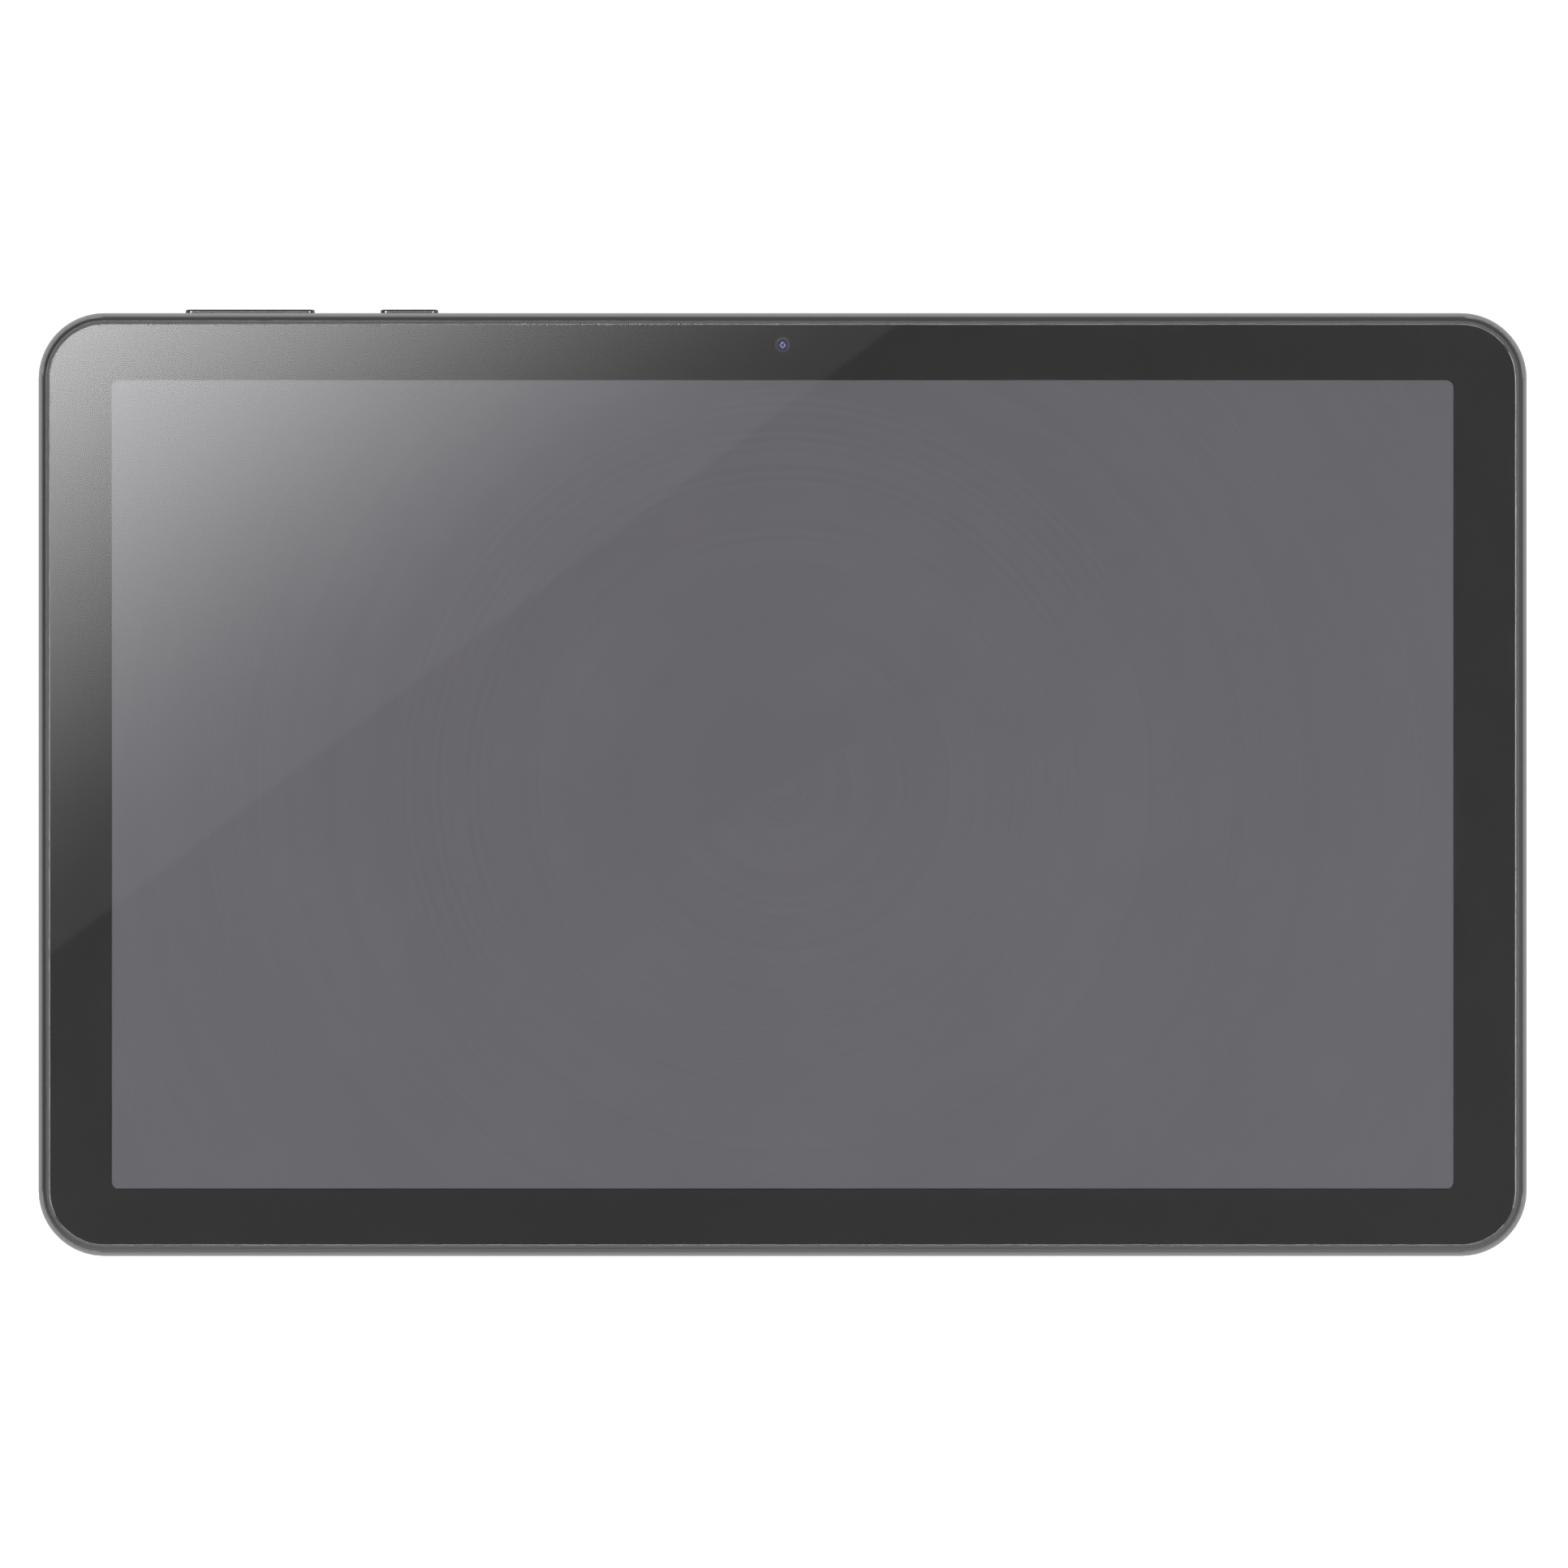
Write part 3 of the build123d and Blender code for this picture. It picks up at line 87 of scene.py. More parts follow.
def applyAll(obj):
    makeActive(obj)
    bpy.ops.object.transform_apply(location=True, rotation=True, scale=True)


def addModifier(obj, kind, **settings):
    makeActive(obj)
    modifier = obj.modifiers.new(kind.title(), kind)
    for key, value in settings.items():
        setattr(modifier, key, value)
    bpy.ops.object.modifier_apply(modifier=modifier.name)


def smooth(obj, angle=35):
    makeActive(obj)
    bpy.ops.object.shade_smooth_by_angle(angle=math.radians(angle))


def addBox(name, low, high):
    deselectAll()
    bpy.ops.mesh.primitive_cube_add(size=1, location=midOf(low, high))
    obj = bpy.context.active_object
    obj.name = name
    obj.scale = [b - a for a, b in zip(low, high)]
    applyAll(obj)
    return obj


# a turned piece: one circle raised ring by ring through (radius, height) steps, closed at both ends
def addTurned(name, centre, steps, sides=48):
    deselectAll()
    x, y = centre
    radius, height = steps[0]
    bpy.ops.mesh.primitive_circle_add(vertices=sides, radius=radius, fill_type="NGON",
                                      location=(x, y, height))
    obj = bpy.context.active_object
    obj.name = name
    applyAll(obj)
    startEdit(obj)
    bpy.ops.mesh.select_all(action="SELECT")
    for nextRadius, nextHeight in steps[1:]:
        bpy.ops.mesh.extrude_region_move(TRANSFORM_OT_translate={"value": (0, 0, nextHeight - height)})
        grow = nextRadius / radius
        bpy.ops.transform.resize(value=(grow, grow, 1), center_override=(x, y, nextHeight))
        radius, height = nextRadius, nextHeight
    bpy.ops.mesh.select_all(action="SELECT")
    bpy.ops.mesh.normals_make_consistent(inside=False)
    endEdit()
    smooth(obj)
    return obj


# a washer turned round a hole: steps go round its section once, and the last ring meets the first
def addRing(name, centre, steps, sides=64):
    deselectAll()
    x, y = centre
    radius, height = steps[0]
    bpy.ops.mesh.primitive_circle_add(vertices=sides, radius=radius, fill_type="NOTHING",
                                      location=(x, y, height))
    obj = bpy.context.active_object
    obj.name = name
    applyAll(obj)
    startEdit(obj, "EDGE")
    bpy.ops.mesh.select_all(action="SELECT")
    for nextRadius, nextHeight in steps[1:] + steps[:1]:
        bpy.ops.mesh.extrude_edges_move(TRANSFORM_OT_translate={"value": (0, 0, nextHeight - height)})
        grow = nextRadius / radius
        bpy.ops.transform.resize(value=(grow, grow, 1), center_override=(x, y, nextHeight))
        radius, height = nextRadius, nextHeight
    bpy.ops.mesh.select_all(action="SELECT")
    bpy.ops.mesh.remove_doubles(threshold=0.001 * mm)
    bpy.ops.mesh.normals_make_consistent(inside=False)
    endEdit()
    smooth(obj)
    return obj


# a quarter of an ellipse from the rim up to the crown, as (radius, height) steps
def dome(reach, foot, rise):
    angles = [math.radians(a) for a in range(0, 86, 7)]
    return [(reach * math.cos(a), foot + rise * math.sin(a)) for a in angles]


# every edge of a piece rounded off
def bevelAll(obj, width, segments=2):
    startEdit(obj, "EDGE")
    bpy.ops.mesh.select_all(action="SELECT")
    bpy.ops.mesh.bevel(offset=width, segments=segments, affect="EDGES")
    endEdit()


def facing(direction, share=0.9):
    aim = Vector(direction)
    return lambda face: face.normal.dot(aim) > share


# the faces picked, inset and then pushed along an axis, step after step
def insetAndPush(obj, test, steps):
    startEdit(obj)
    pickFaces(obj, test)
    for inset, push in steps:
        if inset:
            bpy.ops.mesh.inset(thickness=inset, depth=0)
        bpy.ops.mesh.extrude_region_move(TRANSFORM_OT_translate={"value": push})
    endEdit()


def joinPieces(name, pieces):
    makeActive(pieces[0])
    for piece in pieces[1:]:
        piece.select_set(True)
    if len(pieces) > 1:
        bpy.ops.object.join()
    pieces[0].name = name
    return pieces[0]


# boxes of a node's separate solids, sorted by their lowest corners
def solidBoxes(nodeName):
    mesh = nodes[nodeName].data
    spots = [tuple(round(c, 6) for c in vertex.co) for vertex in mesh.vertices]
    owner = {spot: spot for spot in spots}

    def root(spot):
        while owner[spot] != spot:
            owner[spot] = owner[owner[spot]]
            spot = owner[spot]
        return spot

    for edge in mesh.edges:
        first, second = (root(spots[i]) for i in edge.vertices)
        owner[first] = second
    boxes = {}
    for spot in owner:
        low, high = boxes.setdefault(root(spot), (list(spot), list(spot)))
        for axis in range(3):
            low[axis] = min(low[axis], spot[axis])
            high[axis] = max(high[axis], spot[axis])
    return sorted(boxes.values())


def finishPiece(obj, material, body, slotName, *stoodFor):
    obj.data.materials.clear()
    obj.data.materials.append(material)
    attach(obj, body)
    if stoodFor:
        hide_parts(*stoodFor)


# shader groups
def newGroup(name, inputs, outputs):
    group = bpy.data.node_groups.new(name, "ShaderNodeTree")
    for label, kind, value in inputs:
        socket = group.interface.new_socket(name=label, in_out="INPUT", socket_type=kind)
        socket.default_value = value
    for label, kind in outputs:
        group.interface.new_socket(name=label, in_out="OUTPUT", socket_type=kind)
    start = group.nodes.new("NodeGroupInput")
    end = group.nodes.new("NodeGroupOutput")
    return group, start, end


def mathNode(tree, operation, first, second=None, clamp=False):
    node = tree.nodes.new("ShaderNodeMath")
    node.operation = operation
    node.use_clamp = clamp
    for socket, value in zip(node.inputs, (first, second)):
        if value is None:
            continue
        if isinstance(value, (int, float)):
            socket.default_value = value
        else:
            tree.links.new(value, socket)
    return node.outputs[0]


def mixColour(tree, factor, first, second):
    node = tree.nodes.new("ShaderNodeMix")
    node.data_type = "RGBA"
    for socket, value in zip((node.inputs[0], node.inputs[6], node.inputs[7]),
                             (factor, first, second)):
        if isinstance(value, (int, float)):
            socket.default_value = value
        elif isinstance(value, (tuple, list)):
            socket.default_value = (*value[:3], 1)
        else:
            tree.links.new(value, socket)
    return node.outputs[2]


def noiseNode(tree, vector, scale, detail=2.0, rough=0.5):
    node = tree.nodes.new("ShaderNodeTexNoise")
    node.inputs["Detail"].default_value = detail
    node.inputs["Roughness"].default_value = rough
    if isinstance(scale, (int, float)):
        node.inputs["Scale"].default_value = scale
    else:
        tree.links.new(scale, node.inputs["Scale"])
    tree.links.new(vector, node.inputs["Vector"])
    return node.outputs["Fac"]


def ramp(tree, value, low, high):
    node = tree.nodes.new("ShaderNodeMapRange")
    node.inputs["From Min"].default_value = low
    node.inputs["From Max"].default_value = high
    tree.links.new(value, node.inputs["Value"])
    return node.outputs["Result"]


# blasted grain: fine pits, slow tone drift and a roughness that follows both
def makeGrainGroup():
    group, start, end = newGroup(
        "blastedGrain",
        [("Vector", "NodeSocketVector", (0, 0, 0)), ("Grain Scale", "NodeSocketFloat", 3000.0),
         ("Roughness", "NodeSocketFloat", 0.4), ("Spread", "NodeSocketFloat", 0.1)],
        [("Tone", "NodeSocketFloat"), ("Roughness", "NodeSocketFloat"), ("Height", "NodeSocketFloat")])
    vector = start.outputs["Vector"]
    fine = noiseNode(group, vector, start.outputs["Grain Scale"], 3.0, 0.6)
    slow = noiseNode(group, vector, 22.0, 3.0)
    tone = mathNode(group, "ADD", mathNode(group, "MULTIPLY", fine, 0.45),
                    mathNode(group, "MULTIPLY", slow, 0.55))
    offset = mathNode(group, "MULTIPLY", mathNode(group, "SUBTRACT", tone, 0.5),
                      start.outputs["Spread"])
    group.links.new(tone, end.inputs["Tone"])
    group.links.new(mathNode(group, "ADD", start.outputs["Roughness"], offset, clamp=True),
                    end.inputs["Roughness"])
    group.links.new(fine, end.inputs["Height"])
    return group


# rubbed edges: where the bevelled normal leaves the flat one
def makeEdgeGroup():
    group, start, end = newGroup(
        "rubbedEdges",
        [("Vector", "NodeSocketVector", (0, 0, 0)), ("Amount", "NodeSocketFloat", 0.5)],
        [("Mask", "NodeSocketFloat")])
    bevel = group.nodes.new("ShaderNodeBevel")
    bevel.samples = 4
    bevel.inputs["Radius"].default_value = 0.25 * mm
    geometry = group.nodes.new("ShaderNodeNewGeometry")
    dot = group.nodes.new("ShaderNodeVectorMath")
    dot.operation = "DOT_PRODUCT"
    group.links.new(bevel.outputs["Normal"], dot.inputs[0])
    group.links.new(geometry.outputs["Normal"], dot.inputs[1])
    turned = mathNode(group, "SUBTRACT", 1.0, dot.outputs["Value"])
    sharp = ramp(group, turned, 0.02, 0.2)
    breakUp = ramp(group, noiseNode(group, start.outputs["Vector"], 420.0, 4.0, 0.65), 0.42, 0.66)
    worn = mathNode(group, "MULTIPLY", mathNode(group, "MULTIPLY", sharp, breakUp),
                    start.outputs["Amount"])
    group.links.new(worn, end.inputs["Mask"])
    return group


# handling: soft smears that dull the shine
def makeHandledGroup():
    group, start, end = newGroup(
        "handled",
        [("Vector", "NodeSocketVector", (0, 0, 0)), ("Smear", "NodeSocketFloat", 0.04)],
        [("Roughness", "NodeSocketFloat")])
    smear = ramp(group, noiseNode(group, start.outputs["Vector"], 28.0, 4.0, 0.6), 0.45, 0.75)
    group.links.new(mathNode(group, "MULTIPLY", smear, start.outputs["Smear"]),
                    end.inputs["Roughness"])
    return group


grainGroup = makeGrainGroup()
edgeGroup = makeEdgeGroup()
handledGroup = makeHandledGroup()


# materials
def newMaterial(name):
    material = bpy.data.materials.new(name)
    material.use_nodes = True
    tree = material.node_tree
    shader = tree.nodes["Principled BSDF"]
    place = tree.nodes.new("ShaderNodeTexCoord").outputs["Object"]
    return material, tree, shader, place


def placeGroup(tree, group, place, **values):
    node = tree.nodes.new("ShaderNodeGroup")
    node.node_tree = group
    tree.links.new(place, node.inputs["Vector"])
    for label, value in values.items():
        node.inputs[label.replace("_", " ")].default_value = value
    return node


def addBump(tree, shader, height, distance, strength=1.0):
    bump = tree.nodes.new("ShaderNodeBump")
    bump.inputs["Distance"].default_value = distance
    bump.inputs["Strength"].default_value = strength
    tree.links.new(height, bump.inputs["Height"])
    tree.links.new(bump.outputs["Normal"], shader.inputs["Normal"])


def blastedMetal(name, dark, light, worn, roughness=0.3, grain=3400.0, metallic=1.0, wear=0.5):
    material, tree, shader, place = newMaterial(name)
    shader.inputs["Metallic"].default_value = metallic
    grainNode = placeGroup(tree, grainGroup, place, Grain_Scale=grain, Roughness=roughness, Spread=0.12)
    edges = placeGroup(tree, edgeGroup, place, Amount=wear)
    tone = mixColour(tree, grainNode.outputs["Tone"], dark, light)
    colour = mixColour(tree, edges.outputs["Mask"], tone, worn)
    tree.links.new(colour, shader.inputs["Base Color"])
    tree.links.new(grainNode.outputs["Roughness"], shader.inputs["Roughness"])
    addBump(tree, shader, grainNode.outputs["Height"], 0.004 * mm)
    return material


def mouldedPlastic(name, dark, light, roughness=0.5, grain=1800.0, depth=0.006 * mm, wear=0.25,
                   shine=0.5):
    material, tree, shader, place = newMaterial(name)
    grainNode = placeGroup(tree, grainGroup, place, Grain_Scale=grain, Roughness=roughness, Spread=0.14)
    edges = placeGroup(tree, edgeGroup, place, Amount=wear)
    tone = mixColour(tree, grainNode.outputs["Tone"], dark, light)
    paler = [min(1.0, c * 1.5 + 0.02) for c in light]
    tree.links.new(mixColour(tree, edges.outputs["Mask"], tone, paler), shader.inputs["Base Color"])
    tree.links.new(grainNode.outputs["Roughness"], shader.inputs["Roughness"])
    addBump(tree, shader, grainNode.outputs["Height"], depth)
    shader.inputs["Specular IOR Level"].default_value = shine
    return material


# rolled or brushed sheet, lines along X
def brushedSheet(name, dark, light, roughness=0.32, stretch=(40.0, 2600.0, 2600.0)):
    material, tree, shader, place = newMaterial(name)
    shader.inputs["Metallic"].default_value = 1.0
    mapping = tree.nodes.new("ShaderNodeMapping")
    mapping.inputs["Scale"].default_value = stretch
    tree.links.new(place, mapping.inputs["Vector"])
    lines = noiseNode(tree, mapping.outputs["Vector"], 1.0, 3.0, 0.6)
    grainNode = placeGroup(tree, grainGroup, place, Grain_Scale=900.0, Roughness=roughness, Spread=0.1)
    edges = placeGroup(tree, edgeGroup, place, Amount=0.4)
    tone = mixColour(tree, lines, dark, light)
    brighter = [min(1.0, c * 1.25) for c in light]
    tree.links.new(mixColour(tree, edges.outputs["Mask"], tone, brighter), shader.inputs["Base Color"])
    rough = mathNode(tree, "ADD", grainNode.outputs["Roughness"],
                     mathNode(tree, "MULTIPLY", lines, 0.08), clamp=True)
    tree.links.new(rough, shader.inputs["Roughness"])
    addBump(tree, shader, lines, 0.003 * mm)
    return material


# clear glass that lets the studio light through to what lies under it
def clearGlass(name, tint, roughness=0.0, smear=0.02, ior=1.5):
    material, tree, shader, place = newMaterial(name)
    shader.inputs["Base Color"].default_value = (*tint, 1)
    shader.inputs["Transmission Weight"].default_value = 1.0
    shader.inputs["IOR"].default_value = ior
    handled = placeGroup(tree, handledGroup, place, Smear=smear)
    rough = mathNode(tree, "ADD", handled.outputs["Roughness"], roughness)
    tree.links.new(rough, shader.inputs["Roughness"])
    clear = tree.nodes.new("ShaderNodeBsdfTransparent")
    clear.inputs["Color"].default_value = (*tint, 1)
    rays = tree.nodes.new("ShaderNodeLightPath")
    mix = tree.nodes.new("ShaderNodeMixShader")
    output = tree.nodes["Material Output"]
    tree.links.new(rays.outputs["Is Shadow Ray"], mix.inputs["Fac"])
    tree.links.new(shader.outputs["BSDF"], mix.inputs[1])
    tree.links.new(clear.outputs["BSDF"], mix.inputs[2])
    tree.links.new(mix.outputs["Shader"], output.inputs["Surface"])
    return material


# the unlit display: grey-violet film over a fine grid of cells
def unlitDisplay(name):
    cell = {"pitch": 0.1128 * mm, "gap": 0.006 * mm}
    material, tree, shader, place = newMaterial(name)
    cells = tree.nodes.new("ShaderNodeTexBrick")
    cells.offset = 0.0
    cells.inputs["Scale"].default_value = 1.0
    cells.inputs["Brick Width"].default_value = cell["pitch"]
    cells.inputs["Row Height"].default_value = cell["pitch"]
    cells.inputs["Mortar Size"].default_value = cell["gap"]
    cells.inputs["Color1"].default_value = (0.109, 0.106, 0.119, 1)
    cells.inputs["Color2"].default_value = (0.105, 0.102, 0.115, 1)
    cells.inputs["Mortar"].default_value = (0.093, 0.090, 0.101, 1)
    tree.links.new(place, cells.inputs["Vector"])
    drift = noiseNode(tree, place, 9.0, 2.0)
    colour = mixColour(tree, mathNode(tree, "MULTIPLY", drift, 0.06), cells.outputs["Color"],
                       (0.125, 0.122, 0.138))
    tree.links.new(colour, shader.inputs["Base Color"])
    handled = placeGroup(tree, handledGroup, place, Smear=0.05)
    tree.links.new(mathNode(tree, "ADD", handled.outputs["Roughness"], 0.32),
                   shader.inputs["Roughness"])
    return material


# copper-clad flat cable under amber film, with its traces
def flatCable(name):
    material, tree, shader, place = newMaterial(name)
    wave = tree.nodes.new("ShaderNodeTexWave")
    wave.bands_direction = "DIAGONAL"
    wave.inputs["Scale"].default_value = 900.0
    tree.links.new(place, wave.inputs["Vector"])
    traces = ramp(tree, wave.outputs["Fac"], 0.35, 0.6)
    grainNode = placeGroup(tree, grainGroup, place, Grain_Scale=700.0, Roughness=0.36, Spread=0.1)
    film = mixColour(tree, grainNode.outputs["Tone"], (0.22, 0.085, 0.02), (0.34, 0.15, 0.035))
    tree.links.new(mixColour(tree, traces, film, (0.5, 0.24, 0.075)), shader.inputs["Base Color"])
    tree.links.new(grainNode.outputs["Roughness"], shader.inputs["Roughness"])
    addBump(tree, shader, traces, 0.01 * mm)
    return material


# solder mask over traces, with gold pads
def circuitBoard(name, mask, trace):
    material, tree, shader, place = newMaterial(name)
    tracks = tree.nodes.new("ShaderNodeTexBrick")
    tracks.inputs["Scale"].default_value = 1.0
    tracks.inputs["Brick Width"].default_value = 3.1 * mm
    tracks.inputs["Row Height"].default_value = 0.42 * mm
    tracks.inputs["Mortar Size"].default_value = 0.07 * mm
    tree.links.new(place, tracks.inputs["Vector"])
    pads = tree.nodes.new("ShaderNodeTexVoronoi")
    pads.inputs["Scale"].default_value = 620.0
    tree.links.new(place, pads.inputs["Vector"])
    padMask = mathNode(tree, "LESS_THAN", pads.outputs["Distance"], 0.16)
    lines = mixColour(tree, tracks.outputs["Fac"], mask, trace)
    tree.links.new(mixColour(tree, padMask, lines, (0.72, 0.52, 0.2)), shader.inputs["Base Color"])
    tree.links.new(mathNode(tree, "MULTIPLY", padMask, 0.9), shader.inputs["Metallic"])
    grainNode = placeGroup(tree, grainGroup, place, Grain_Scale=1500.0, Roughness=0.34, Spread=0.1)
    tree.links.new(grainNode.outputs["Roughness"], shader.inputs["Roughness"])
    addBump(tree, shader, tracks.outputs["Fac"], 0.02 * mm)
    return material


# crinkled foil pouch
def foilPouch(name, dark, light):
    material, tree, shader, place = newMaterial(name)
    shader.inputs["Metallic"].default_value = 0.35
    creases = tree.nodes.new("ShaderNodeTexVoronoi")
    creases.feature = "DISTANCE_TO_EDGE"
    creases.inputs["Scale"].default_value = 55.0
    tree.links.new(place, creases.inputs["Vector"])
    fold = ramp(tree, creases.outputs["Distance"], 0.0, 0.25)
    grainNode = placeGroup(tree, grainGroup, place, Grain_Scale=260.0, Roughness=0.42, Spread=0.2)
    tree.links.new(mixColour(tree, grainNode.outputs["Tone"], dark, light), shader.inputs["Base Color"])
    tree.links.new(grainNode.outputs["Roughness"], shader.inputs["Roughness"])
    addBump(tree, shader, fold, 0.05 * mm, 0.6)
    return material


# coated lens: deep blue with a violet edge
def coatedLens(name, deep, rim):
    material, tree, shader, place = newMaterial(name)
    facing = tree.nodes.new("ShaderNodeLayerWeight")
    facing.inputs["Blend"].default_value = 0.35
    drift = noiseNode(tree, place, 900.0, 2.0)
    tint = mathNode(tree, "ADD", facing.outputs["Facing"], mathNode(tree, "MULTIPLY", drift, 0.15))
    tree.links.new(mixColour(tree, tint, deep, rim), shader.inputs["Base Color"])
    shader.inputs["Roughness"].default_value = 0.04
    shader.inputs["Specular IOR Level"].default_value = 0.3
    shader.inputs["Coat Weight"].default_value = 0.6
    shader.inputs["Coat Roughness"].default_value = 0.02
    return material


palette = {
    "case_aluminium": blastedMetal("graphiteAluminium", (0.19, 0.19, 0.197), (0.23, 0.23, 0.237),
                                   (0.34, 0.34, 0.35), 0.2, wear=0.3),
    "key_aluminium": blastedMetal("keyAluminium", (0.16, 0.16, 0.165), (0.19, 0.19, 0.196),
                                  (0.3, 0.3, 0.31), 0.24, wear=0.2),
    "ring_aluminium": blastedMetal("ringAluminium", (0.3, 0.3, 0.32), (0.38, 0.38, 0.4),
                                   (0.6, 0.6, 0.62), 0.22),
    "plate_alloy": blastedMetal("plateAlloy", (0.5, 0.5, 0.49), (0.6, 0.6, 0.59), (0.75, 0.75, 0.74),
                                0.4, 1500.0),
    "window_plastic": mouldedPlastic("windowPlastic", (0.062, 0.062, 0.066), (0.078, 0.078, 0.082),
                                     0.42),
    "frame_plastic": mouldedPlastic("framePlastic", (0.06, 0.06, 0.061), (0.075, 0.075, 0.077), 0.45,
                                    shine=0.3),
    "border_ink": mouldedPlastic("borderInk", (0.003, 0.003, 0.003), (0.0045, 0.0045, 0.0045), 0.4,
                                 2500.0, 0.002 * mm, 0.0, 0.1),
    "tape_black": mouldedPlastic("tapeBlack", (0.02, 0.02, 0.02), (0.035, 0.035, 0.035), 0.8, 900.0),
    "graphite": mouldedPlastic("graphiteSheet", (0.05, 0.05, 0.053), (0.085, 0.085, 0.09), 0.38, 500.0),
    "led_board": mouldedPlastic("ledBoard", (0.62, 0.58, 0.36), (0.72, 0.68, 0.44), 0.4, 1200.0),
    "chip_epoxy": mouldedPlastic("chipEpoxy", (0.018, 0.018, 0.019), (0.03, 0.03, 0.031), 0.55, 3000.0,
                                 0.01 * mm),
    "socket_plastic": mouldedPlastic("socketPlastic", (0.05, 0.045, 0.04), (0.08, 0.073, 0.066), 0.5),
    "carrier_plastic": mouldedPlastic("carrierPlastic", (0.02, 0.02, 0.021), (0.034, 0.034, 0.035),
                                      0.45),
    "seal_rubber": mouldedPlastic("sealRubber", (0.016, 0.016, 0.016), (0.027, 0.027, 0.027), 0.72),
    "thermal_silicone": mouldedPlastic("thermalSilicone", (0.26, 0.3, 0.37), (0.33, 0.38, 0.45), 0.7,
                                       600.0),
    "cable_jacket": mouldedPlastic("cableJacket", (0.06, 0.06, 0.06), (0.1, 0.1, 0.1), 0.5, 2400.0),
    "cone_film": mouldedPlastic("coneFilm", (0.025, 0.025, 0.027), (0.05, 0.05, 0.052), 0.4, 1200.0),
    "camera_body": mouldedPlastic("cameraBody", (0.02, 0.02, 0.021), (0.035, 0.035, 0.037), 0.5, 2600.0),
    "sheet_film": mouldedPlastic("sheetFilm", (0.78, 0.78, 0.76), (0.86, 0.86, 0.84), 0.35, 800.0),
    "guide_acrylic": mouldedPlastic("guideAcrylic", (0.7, 0.73, 0.72), (0.8, 0.83, 0.82), 0.2, 1400.0),
    "stainless_sheet": brushedSheet("stainlessSheet", (0.45, 0.45, 0.44), (0.6, 0.6, 0.59)),
    "shield_tin": brushedSheet("shieldTin", (0.55, 0.55, 0.54), (0.68, 0.68, 0.66), 0.3),
    "screw_steel": brushedSheet("screwSteel", (0.09, 0.09, 0.095), (0.15, 0.15, 0.155), 0.35),
    "mesh_steel": brushedSheet("meshSteel", (0.03, 0.03, 0.031), (0.06, 0.06, 0.062), 0.45),
    "contact_gold": brushedSheet("contactGold", (0.75, 0.52, 0.2), (0.9, 0.68, 0.3), 0.22),
    "copper_film": brushedSheet("copperFilm", (0.6, 0.32, 0.18), (0.75, 0.44, 0.27), 0.3),
    "flat_cable": flatCable("flatCable"),
    "circuit_board": circuitBoard("circuitBoard", (0.008, 0.04, 0.026), (0.02, 0.085, 0.055)),
    "battery_pouch": foilPouch("batteryPouch", (0.035, 0.035, 0.037), (0.07, 0.07, 0.074)),
    "polariser_film": unlitDisplay("unlitDisplay"),
    "cover_glass": clearGlass("coverGlass", (0.985, 0.982, 0.985), smear=0.006),
    "panel_glass": clearGlass("panelGlass", (0.86, 0.9, 0.89), 0.02),
    "optical_gel": clearGlass("opticalGel", (0.995, 0.995, 0.995), 0.0, 0.0),
    "lens_glass": coatedLens("lensGlass", (0.002, 0.009, 0.052), (0.03, 0.022, 0.07)),
    "lens_cover_glass": coatedLens("lensCoverGlass", (0.012, 0.012, 0.014), (0.03, 0.03, 0.04)),
    "smokedGlass": clearGlass("smokedGlass", (0.6, 0.6, 0.62)),
    "hoodPlastic": mouldedPlastic("hoodPlastic", (0.018, 0.017, 0.021), (0.024, 0.023, 0.027), 0.5,
                                  3600.0, shine=0.1),
    "ceramic": mouldedPlastic("ceramic", (0.36, 0.27, 0.18), (0.48, 0.38, 0.27), 0.35, 1600.0),
}

slotOf = {part["node"]: part["material_slot"] for part in frame["record"]["subparts"]}
for nodeName, obj in nodes.items():
    if not obj.material_slots:
        obj.data.materials.append(None)
    for materialSlot in obj.material_slots:
        materialSlot.material = palette[slotOf[nodeName]]
print("materials:", len(palette))


